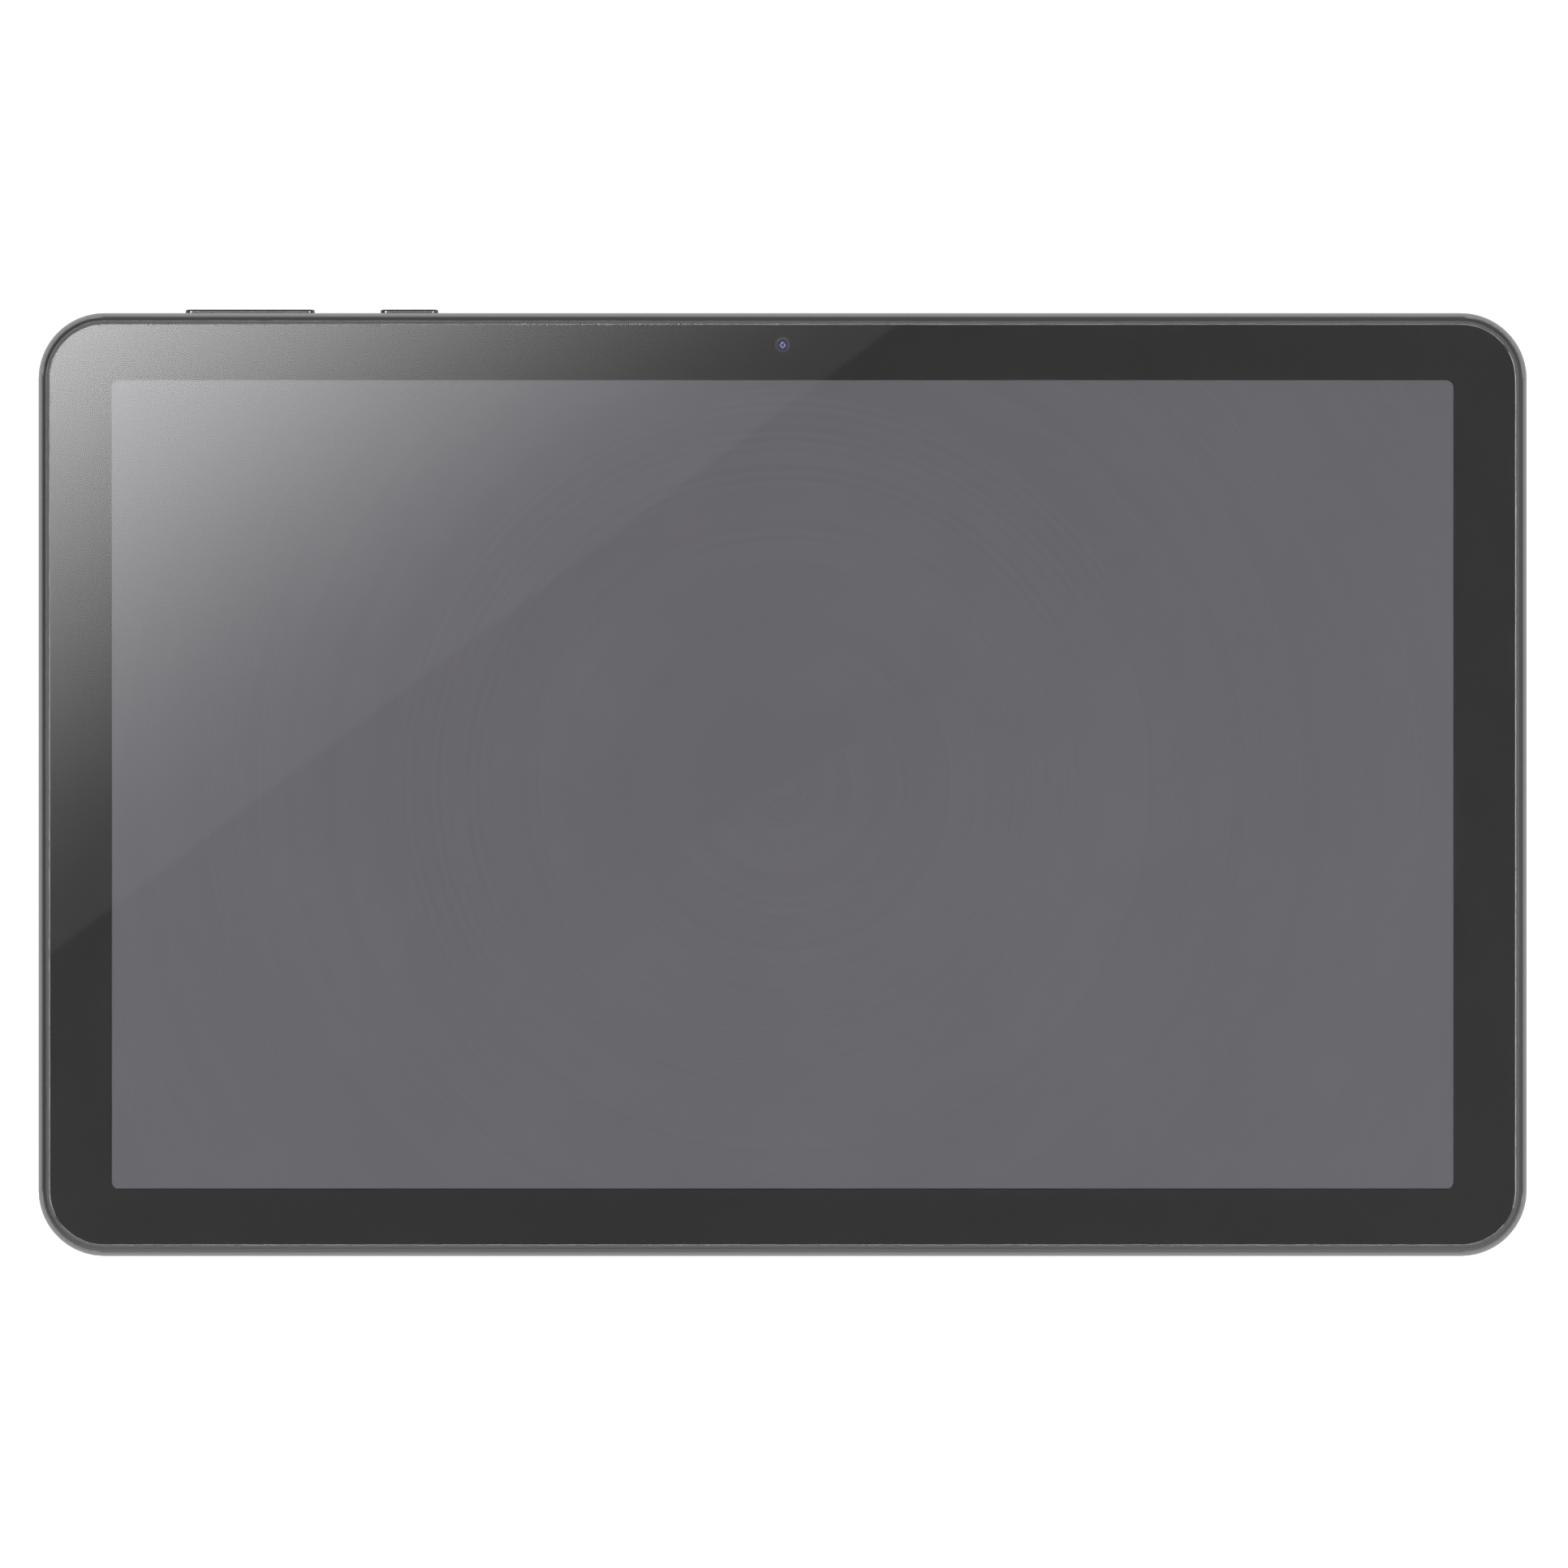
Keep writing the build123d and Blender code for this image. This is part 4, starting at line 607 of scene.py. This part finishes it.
# front camera: bevelled base, grooved barrel with a stepped hood, domed blue lens at its foot
def makeFrontCamera():
    low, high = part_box("front_camera")
    lens = max(solidBoxes("camera_lenses"), key=lambda box: box[0][2])   # the higher of the two
    centre, top = midOf(*lens)[:2], high[2]
    frontCamera = {
        "baseTop": lens[0][2] - 0.05 * mm,
        "baseBevel": 0.25 * mm, "baseRim": 0.35 * mm, "baseSunk": 0.06 * mm,
        "barrelRadius": 2.1 * mm, "grooveDepth": 0.12 * mm, "grooveLow": 0.4 * mm,
        "grooveHigh": 0.3 * mm, "grooveSlope": 0.05 * mm, "lip": 0.08 * mm, "boreLip": 0.1 * mm,
        "boreRadius": 1.12 * mm, "hoodRadius": 0.8 * mm, "hoodSteps": 3, "hoodFoot": 0.16 * mm,
        "stepDrop": 0.08 * mm, "stepStart": 0.06 * mm, "stepEdge": 0.02 * mm, "stepSlope": 0.01 * mm,
        "hoodLip": 0.3 * mm, "lensGap": 0.02 * mm, "crown": 0.24 * mm, "crownFoot": 0.5 * mm,
    }
    base = frontCamera["baseTop"]
    box = addBox("frontCameraBase", low, (high[0], high[1], base))
    bevelAll(box, frontCamera["baseBevel"], 2)
    insetAndPush(box, facing((0, 0, 1)), [(frontCamera["baseRim"], (0, 0, -frontCamera["baseSunk"]))])
    finishPiece(box, palette["camera_body"], "tablet", "camera_body", "front_camera")
    outer, bore, hood = (frontCamera[key] for key in ("barrelRadius", "boreRadius", "hoodRadius"))
    waist, foot = outer - frontCamera["grooveDepth"], base - 0.04 * mm   # the foot sinks into the base
    grooveLow, grooveHigh = top - frontCamera["grooveLow"], top - frontCamera["grooveHigh"]
    slope, lip = frontCamera["grooveSlope"], frontCamera["lip"]
    barrel = addRing("frontCameraBarrel", centre, [
        (bore, foot), (outer, foot), (outer, grooveLow - slope), (waist, grooveLow),
        (waist, grooveHigh), (outer, grooveHigh + slope), (outer, top - lip), (outer - lip, top),
        (bore + frontCamera["boreLip"], top), (bore, top - 0.5 * frontCamera["boreLip"])])
    finishPiece(barrel, palette["hoodPlastic"], "tablet", "camera_body", "front_camera")
    step = (bore - hood) / frontCamera["hoodSteps"]
    floor = lens[1][2] - frontCamera["hoodFoot"]
    steps = [(bore, floor)]
    for count in range(frontCamera["hoodSteps"]):
        radius = bore - count * step
        level = top - frontCamera["stepStart"] - count * frontCamera["stepDrop"]
        tread = radius - step + frontCamera["stepEdge"]
        steps += [(radius, level), (tread, level - frontCamera["stepSlope"])]
    steps += [(hood, top - frontCamera["hoodLip"]), (hood, floor)]
    cone = addRing("frontCameraHood", centre, steps)
    finishPiece(cone, palette["hoodPlastic"], "tablet", "camera_body", "front_camera")
    reach = hood - frontCamera["lensGap"]
    profile = dome(reach, top - frontCamera["crownFoot"], frontCamera["crown"])
    front = addTurned("frontLens", centre, [(reach, lens[0][2] + frontCamera["lensGap"])] + profile)
    finishPiece(front, palette["lens_glass"], "tablet", "lens_glass", "camera_lenses")


# rear camera: lens group under a smoked cover with a printed black surround
def makeRearCamera():
    lens = min(solidBoxes("camera_lenses"), key=lambda box: box[0][2])   # the lower one
    coverLow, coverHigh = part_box("rear_lens_cover")
    centre = midOf(*lens)[:2]
    rearCamera = {"coverRadius": (coverHigh[0] - coverLow[0]) / 2, "printWidth": 1.3 * mm,
                  "print": 0.05 * mm, "printGap": 0.01 * mm, "edge": 0.08 * mm,
                  "sunk": 0.24 * mm, "crown": 0.22 * mm, "domeShare": 0.82,
                  "rimShare": 0.9, "rimHeight": 0.1 * mm,
                  "grooveShare": 0.86, "grooveHeight": 0.04 * mm}
    radius, edge = rearCamera["coverRadius"], rearCamera["edge"]
    low, high = coverLow[2], coverHigh[2] - rearCamera["print"]
    cover = addTurned("rearCover", centre, [
        (radius - edge, low), (radius - 0.3 * edge, low + 0.3 * edge), (radius, low + edge),
        (radius, high - edge), (radius - edge, high)], 96)
    finishPiece(cover, palette["smokedGlass"], "tablet", "lens_cover_glass", "rear_lens_cover")
    hole = radius - rearCamera["printWidth"]
    printLow = high + rearCamera["printGap"]
    surround = addRing("rearCoverPrint", centre, [
        (hole, printLow), (radius - edge, printLow), (radius - edge, coverHigh[2]),
        (hole, coverHigh[2])], 96)
    finishPiece(surround, palette["border_ink"], "tablet", "border_ink", "rear_lens_cover")
    reach = (lens[1][0] - lens[0][0]) / 2
    shoulder = lens[0][2] + rearCamera["sunk"]
    profile = dome(reach * rearCamera["domeShare"], shoulder, -rearCamera["crown"])
    rear = addTurned("rearLens", centre, [
        (reach, lens[1][2]), (reach, shoulder),
        (reach * rearCamera["rimShare"], shoulder - rearCamera["rimHeight"]),
        (reach * rearCamera["grooveShare"], shoulder - rearCamera["grooveHeight"])] + profile)
    finishPiece(rear, palette["lens_glass"], "tablet", "lens_glass", "camera_lenses")


# woven speaker cloth behind each row of slots: a grid of wires with open squares
def makeSpeakerMeshes():
    weave = {"pitch": 0.42 * mm, "wire": 0.09 * mm, "thick": 0.09 * mm, "rim": 0.25 * mm,
             "rimHalf": 0.06 * mm}
    for count, (low, high) in enumerate(solidBoxes("speaker_meshes")):
        long, tall = high[1] - low[1], high[2] - low[2]
        columns, rows = round(long / weave["pitch"]), round(tall / weave["pitch"])
        middle = midOf(low, high)
        deselectAll()
        bpy.ops.mesh.primitive_grid_add(x_subdivisions=columns, y_subdivisions=rows, size=1,
                                        location=middle, rotation=(math.pi / 2, 0, math.pi / 2))
        sheet = bpy.context.active_object
        sheet.name = f"speakerWeave.{count}"
        sheet.scale = (long, tall, 1)
        applyAll(sheet)
        startEdit(sheet)
        bpy.ops.mesh.select_all(action="SELECT")
        bpy.ops.mesh.inset(thickness=weave["wire"], use_individual=True)
        bpy.ops.mesh.delete(type="FACE")
        endEdit()
        addModifier(sheet, "SOLIDIFY", thickness=weave["thick"], offset=0)
        finishPiece(sheet, palette["mesh_steel"], "tablet", "mesh_steel", "speaker_meshes")
        frameLow = (middle[0] - weave["rimHalf"], low[1], low[2])
        frameHigh = (middle[0] + weave["rimHalf"], high[1], high[2])
        rim = addBox(f"speakerWeaveRim.{count}", frameLow, frameHigh)
        startEdit(rim)
        pickFaces(rim, lambda face: abs(face.normal.x) > 0.9)
        bpy.ops.mesh.inset(thickness=weave["rim"])
        bpy.ops.mesh.bridge_edge_loops()
        endEdit()
        finishPiece(rim, palette["stainless_sheet"], "tablet", "mesh_steel", "speaker_meshes")


# speaker diaphragms: a rolled surround, a flat band and a crowned middle
def makeSpeakerCones():
    cone = {
        "corner": 1.6 * mm, "edgeShare": 0.4, "riseShare": 0.5,
        "steps": ((0.2, 0.5), (0.25, 0.3), (0.25, -0.3), (0.2, -0.5), (0.5, 0.35), (0.6, 0.25)),
    }   # each step: width inwards in mm, then height as a share of the rise
    for count, (low, high) in enumerate(solidBoxes("speaker_cones")):
        tall = high[2] - low[2]
        edge, rise = cone["edgeShare"] * tall, cone["riseShare"] * tall
        dish = addBox(f"speakerCone.{count}", low, (high[0], high[1], low[2] + edge))
        startEdit(dish, "EDGE")
        bpy.ops.object.mode_set(mode="OBJECT")
        for line in dish.data.edges:
            ends = [dish.data.vertices[i].co for i in line.vertices]
            line.select = abs(ends[0].z - ends[1].z) > 0.5 * edge   # the upright corners
        bpy.ops.object.mode_set(mode="EDIT")
        bpy.ops.mesh.bevel(offset=cone["corner"], segments=6, affect="EDGES")
        endEdit()
        insetAndPush(dish, facing((0, 0, 1)), [(width * mm, (0, 0, share * rise))
                                               for width, share in cone["steps"]])
        smooth(dish, 60)
        finishPiece(dish, palette["cone_film"], "tablet", "cone_film", "speaker_cones")


# battery cells: soft-cornered pouches with a crimped end and slightly sunken sides
def makeBattery():
    pouch = {"crimp": 2.6 * mm, "thin": 0.22 * mm, "corner": 0.85 * mm, "neck": 0.35 * mm,
             "taper": 0.5 * mm, "sideRim": 0.7 * mm, "sunk": 0.06 * mm, "large": 100 * mm * mm}
    for count, (low, high) in enumerate(solidBoxes("battery_cells")):
        body = addBox(f"batteryPouch.{count}", low, (high[0], high[1] - pouch["crimp"], high[2]))
        bevelAll(body, pouch["corner"], 4)
        startEdit(body)
        pickFaces(body, lambda face: face.normal.y > 0.99 and face.area > 0.1 * pouch["large"])
        bpy.ops.mesh.inset(thickness=pouch["neck"])
        middle, tall = midOf(low, high), high[2] - low[2]
        squash = pouch["thin"] / (tall - 2 * pouch["corner"] - 2 * pouch["neck"])
        taper = pouch["taper"]
        bpy.ops.mesh.extrude_region_move(TRANSFORM_OT_translate={"value": (0, taper, 0)})
        bpy.ops.transform.resize(value=(1, 1, squash), center_override=middle)
        bpy.ops.mesh.extrude_region_move(
            TRANSFORM_OT_translate={"value": (0, pouch["crimp"] - taper, 0)})
        endEdit()
        for axis in ((1, 0, 0), (-1, 0, 0), (0, 0, 1), (0, 0, -1)):
            alongAxis = facing(axis, 0.999)
            push = [-pouch["sunk"] * c for c in axis]
            insetAndPush(body, lambda face: alongAxis(face) and face.area > pouch["large"],
                         [(pouch["sideRim"], push)])
        smooth(body, 40)
        finishPiece(body, palette["battery_pouch"], "tablet", "battery_pouch", "battery_cells")


# shield cans: folded lids with rows of vent holes, open towards the board
def makeShieldCans():
    can = {"sheet": 0.15 * mm, "web": 0.57 * mm, "margin": 1.5 * mm, "cuts": 7}
    for count, (low, high) in enumerate(solidBoxes("shield_cans")):
        lid = addBox(f"shieldLid.{count}", low, high)
        startEdit(lid)
        pickFaces(lid, facing((0, 0, 1)))
        bpy.ops.mesh.delete(type="FACE")
        endEdit()
        startEdit(lid)
        pickFaces(lid, facing((0, 0, -1)))
        bpy.ops.mesh.inset(thickness=can["margin"])
        bpy.ops.mesh.subdivide(number_cuts=can["cuts"])
        bpy.ops.mesh.inset(thickness=can["web"], use_individual=True)
        bpy.ops.mesh.delete(type="FACE")
        endEdit()
        addModifier(lid, "SOLIDIFY", thickness=can["sheet"], offset=-1)
        smooth(lid, 30)
        finishPiece(lid, palette["shield_tin"], "tablet", "shield_tin", "shield_cans")


# packages: bodies with broken edges and a shallow recess, and small parts beside those under the lids
def makeChips():
    chip = {"edge": 0.08 * mm, "rim": 0.25 * mm, "recess": 0.03 * mm}
    passive = {"half": (0.126 * mm, 0.18 * mm, 0.126 * mm), "height": 0.3 * mm,
               "pitch": 1.1 * mm, "gap": 0.8 * mm, "capWider": 1.19, "capLonger": 5 / 3}
    lids = solidBoxes("shield_cans")
    small = []
    for count, (low, high) in enumerate(solidBoxes("circuit_chips")):
        package = addBox(f"chipPackage.{count}", low, high)
        bevelAll(package, min(chip["edge"], 0.2 * (high[2] - low[2])), 1)
        below = any(lidLow[0] < low[0] and high[0] < lidHigh[0] and lidLow[1] < low[1] and
                    high[1] < lidHigh[1] for lidLow, lidHigh in lids)
        outward = -1 if below else 1
        sunk = (0, 0, -outward * chip["recess"])
        insetAndPush(package, facing((0, 0, outward), 0.99), [(chip["rim"], sunk)])
        smooth(package, 30)
        finishPiece(package, palette["chip_epoxy"], "tablet", "chip_epoxy", "circuit_chips")
        if not below:
            continue
        pitch, gap, level = passive["pitch"], passive["gap"], high[2] - passive["height"] / 2
        small += [(low[0] + pitch * spot, low[1] - gap, level)
                  for spot in range(1, int((high[0] - low[0]) / pitch))]
        small += [(high[0] + gap, low[1] + pitch * spot, level)
                  for spot in range(1, int((high[1] - low[1]) / pitch))]
    half, wider = passive["half"], passive["capWider"]
    bodies = []
    for middle in small:
        part = addBox("passive", [m - h for m, h in zip(middle, half)],
                      [m + h for m, h in zip(middle, half)])
        startEdit(part)
        pickFaces(part, lambda face: abs(face.normal.y) > 0.9)
        bpy.ops.mesh.extrude_region_move()
        bpy.ops.transform.resize(value=(wider, 1, wider), center_override=middle)
        bpy.ops.mesh.extrude_region_move()
        bpy.ops.transform.resize(value=(1, passive["capLonger"], 1), center_override=middle)
        endEdit()
        bodies.append(part)
    rows = joinPieces("boardPassives", bodies)
    finishPiece(rows, palette["ceramic"], "tablet", "chip_epoxy", "circuit_chips")


# flat-cable sockets: a walled housing with a row of gold springs
def makeConnectors():
    socket = {"wall": 0.28 * mm, "pitch": 0.6 * mm, "pin": 0.26 * mm, "edge": 0.06 * mm,
              "pinEdge": 0.04 * mm, "pinBelow": 0.05 * mm, "pinAbove": 0.12 * mm, "depthShare": 0.4,
              "pinInset": 1.6, "endWalls": 4}   # the last two counted in walls
    pins = []
    for count, (low, high) in enumerate(solidBoxes("board_connectors")):
        housing = addBox(f"socketHousing.{count}", low, high)
        bevelAll(housing, socket["edge"], 1)
        depth = socket["depthShare"] * (high[2] - low[2])
        insetAndPush(housing, facing((0, 0, 1), 0.99), [(socket["wall"], (0, 0, -depth))])
        smooth(housing, 30)
        finishPiece(housing, palette["socket_plastic"], "tablet", "socket_plastic", "board_connectors")
        lengthways = 0 if high[0] - low[0] > high[1] - low[1] else 1
        span = high[lengthways] - low[lengthways] - socket["endWalls"] * socket["wall"]
        amount = max(2, int(span / socket["pitch"]))
        middle = midOf(low, high)
        for number in range(amount):
            pinLow, pinHigh = list(low), list(high)
            spot = middle[lengthways] + (number - (amount - 1) / 2) * socket["pitch"]
            pinLow[lengthways], pinHigh[lengthways] = spot - socket["pin"] / 2, spot + socket["pin"] / 2
            across = 1 - lengthways
            pinLow[across] += socket["wall"] * socket["pinInset"]
            pinHigh[across] -= socket["wall"] * socket["pinInset"]
            foot = high[2] - depth
            pinLow[2], pinHigh[2] = foot - socket["pinBelow"], foot + socket["pinAbove"]
            pins.append(addBox("pin", pinLow, pinHigh))
    rows = joinPieces("socketSprings", pins)
    bevelAll(rows, socket["pinEdge"], 1)
    finishPiece(rows, palette["contact_gold"], "tablet", "contact_gold", "board_connectors")


makeFrontCamera()
makeRearCamera()
makeSpeakerMeshes()
makeSpeakerCones()
makeBattery()
makeShieldCans()
makeChips()
makeConnectors()
print("pieces made")


# studio
studio = {
    "floorSize": 6.0,
    "floorGlow": 0.72,
    "floorSeen": 0.4,
    "floorTone": 0.32,
    "lensMm": 500.0,
    "sensorMm": 36.0,
    "viewWidth": 263.7 * mm,
    "aim": (0.23 * mm, 0.10 * mm),
    "aimHeight": 6.0 * mm,
    "floorLevel": -0.02 * mm,
}
cameraDistance = studio["viewWidth"] / studio["sensorMm"] * studio["lensMm"]


def makeFloor():
    deselectAll()
    bpy.ops.mesh.primitive_plane_add(size=studio["floorSize"],
                                     location=(0, 0, studio["floorLevel"]))
    floor = bpy.context.active_object
    floor.name = "studioFloor"
    material = bpy.data.materials.new("lightTable")
    material.use_nodes = True
    tree = material.node_tree
    shader = tree.nodes["Principled BSDF"]
    shader.inputs["Base Color"].default_value = (studio["floorTone"],) * 3 + (1,)
    shader.inputs["Roughness"].default_value = 0.9
    shader.inputs["Specular IOR Level"].default_value = 0.1
    shader.inputs["Emission Color"].default_value = (1, 1, 1, 1)
    rays = tree.nodes.new("ShaderNodeLightPath")
    seen = mathNode(tree, "MULTIPLY", rays.outputs["Is Camera Ray"], studio["floorSeen"])
    tree.links.new(mathNode(tree, "ADD", seen, studio["floorGlow"]), shader.inputs["Emission Strength"])
    floor.data.materials.append(material)


# reflected softbox over the far left corner, fading along a slanted line
glare = {"height": 1.0, "lineAt": (20.2 * mm, 77.4 * mm), "slope": 0.742, "soft": 0.9 * mm,
         "reflects": 0.038, "curve": 64.0, "rise": 0.011, "left": -126 * mm, "right": 24 * mm,
         "near": -33 * mm, "far": 80 * mm}


def makeGlareCard():
    spread = 1 + glare["height"] / cameraDistance
    left, right, near, far = (glare[key] * spread for key in ("left", "right", "near", "far"))
    deselectAll()
    bpy.ops.mesh.primitive_plane_add(
        size=1, location=((left + right) / 2, (near + far) / 2, glare["height"]))
    card = bpy.context.active_object
    card.name = "softboxCard"
    card.scale = (right - left, far - near, 1)
    applyAll(card)
    material = bpy.data.materials.new("softboxGlow")
    material.use_nodes = True
    tree = material.node_tree
    tree.nodes.remove(tree.nodes["Principled BSDF"])
    place = tree.nodes.new("ShaderNodeTexCoord").outputs["Object"]
    parts = tree.nodes.new("ShaderNodeSeparateXYZ")
    tree.links.new(place, parts.inputs[0])
    slope = glare["slope"]
    length = math.hypot(slope, 1)
    acrossX = mathNode(tree, "MULTIPLY", parts.outputs["X"], -slope / length / spread)
    acrossY = mathNode(tree, "MULTIPLY", parts.outputs["Y"], 1 / length / spread)
    start = (glare["lineAt"][0] * slope - glare["lineAt"][1]) / length
    away = mathNode(tree, "ADD", mathNode(tree, "ADD", acrossX, acrossY), start)
    inside = mathNode(tree, "MAXIMUM", away, 0.0)
    squared = mathNode(tree, "MULTIPLY", mathNode(tree, "MULTIPLY", inside, inside), glare["curve"])
    step = mathNode(tree, "MULTIPLY", ramp(tree, away, 0.0, glare["soft"]), glare["rise"])
    level = mathNode(tree, "DIVIDE", mathNode(tree, "ADD", squared, step), glare["reflects"])
    glow = tree.nodes.new("ShaderNodeEmission")
    tree.links.new(level, glow.inputs["Strength"])
    clear = tree.nodes.new("ShaderNodeBsdfTransparent")
    both = tree.nodes.new("ShaderNodeAddShader")
    tree.links.new(glow.outputs[0], both.inputs[0])
    tree.links.new(clear.outputs[0], both.inputs[1])
    tree.links.new(both.outputs[0], tree.nodes["Material Output"].inputs["Surface"])
    card.data.materials.append(material)
    card.visible_camera = False
    card.visible_diffuse = False
    card.visible_transmission = False
    card.visible_shadow = False


# studio sky: brighter towards -Y and at both ends, darker overhead
sky = {"level": 0.37, "acrossX": 0.055, "acrossY": -0.175, "ends": 0.155, "overhead": -0.25,
       "seen": 0.85}


def makeWorld():
    world = bpy.data.worlds.new("studioSky")
    bpy.context.scene.world = world
    world.use_nodes = True
    tree = world.node_tree
    background = tree.nodes["Background"]
    direction = tree.nodes.new("ShaderNodeTexCoord").outputs["Generated"]
    parts = tree.nodes.new("ShaderNodeSeparateXYZ")
    tree.links.new(direction, parts.inputs[0])
    sideways = mathNode(tree, "MULTIPLY", parts.outputs["X"], sky["acrossX"])
    lengthways = mathNode(tree, "MULTIPLY", parts.outputs["Y"], sky["acrossY"])
    squared = mathNode(tree, "MULTIPLY", parts.outputs["Y"], parts.outputs["Y"])
    ends = mathNode(tree, "MULTIPLY", squared, sky["ends"])
    low = mathNode(tree, "ADD", mathNode(tree, "ADD", sideways, lengthways),
                   mathNode(tree, "ADD", ends, sky["level"]))
    above = mathNode(tree, "MAXIMUM", parts.outputs["Z"], 0.0)
    drop = mathNode(tree, "MULTIPLY", above, sky["overhead"])
    level = mathNode(tree, "ADD", low, drop)
    rays = tree.nodes.new("ShaderNodeLightPath")
    seen = mathNode(tree, "MULTIPLY", rays.outputs["Is Camera Ray"], sky["seen"])
    tree.links.new(mathNode(tree, "ADD", level, seen), background.inputs["Strength"])
    background.inputs["Color"].default_value = (1, 1, 1, 1)


# four softboxes round the tablet: name, azimuth, size and whether the metal mirrors it
softboxes = {
    "elevation": 68, "distance": 2.0, "power": 13,
    "boxes": (("boxFront", 0, (1.1, 0.7), False), ("boxRight", 82, (0.8, 0.7), True),
              ("boxBack", 180, (1.1, 0.7), False), ("boxLeft", 277, (0.5, 0.42), True)),
}


def addSoftbox(name, azimuth, size, mirrored):
    turn, rise = math.radians(azimuth), math.radians(softboxes["elevation"])
    away = Vector((math.sin(turn) * math.cos(rise), -math.cos(turn) * math.cos(rise), math.sin(rise)))
    light = bpy.data.lights.new(name, "AREA")
    light.shape = "RECTANGLE"
    light.size, light.size_y = size
    light.energy = softboxes["power"]
    obj = bpy.data.objects.new(name, light)
    bpy.context.scene.collection.objects.link(obj)
    obj.location = away * softboxes["distance"]
    obj.rotation_mode = "QUATERNION"
    obj.rotation_quaternion = away.to_track_quat("Z", "Y")
    obj.visible_glossy = mirrored


def makeCamera():
    camera = bpy.data.cameras.new("frontView")
    camera.lens = studio["lensMm"]
    camera.sensor_width = studio["sensorMm"]
    camera.clip_start, camera.clip_end = 0.05, 30
    obj = bpy.data.objects.new("frontView", camera)
    bpy.context.scene.collection.objects.link(obj)
    obj.location = (*studio["aim"], studio["aimHeight"] + cameraDistance)
    bpy.context.scene.camera = obj


bpy.context.scene.view_settings.view_transform = "Standard"
makeWorld()
for box in softboxes["boxes"]:
    addSoftbox(*box)
makeFloor()
makeGlareCard()
makeCamera()
print("studio ready")
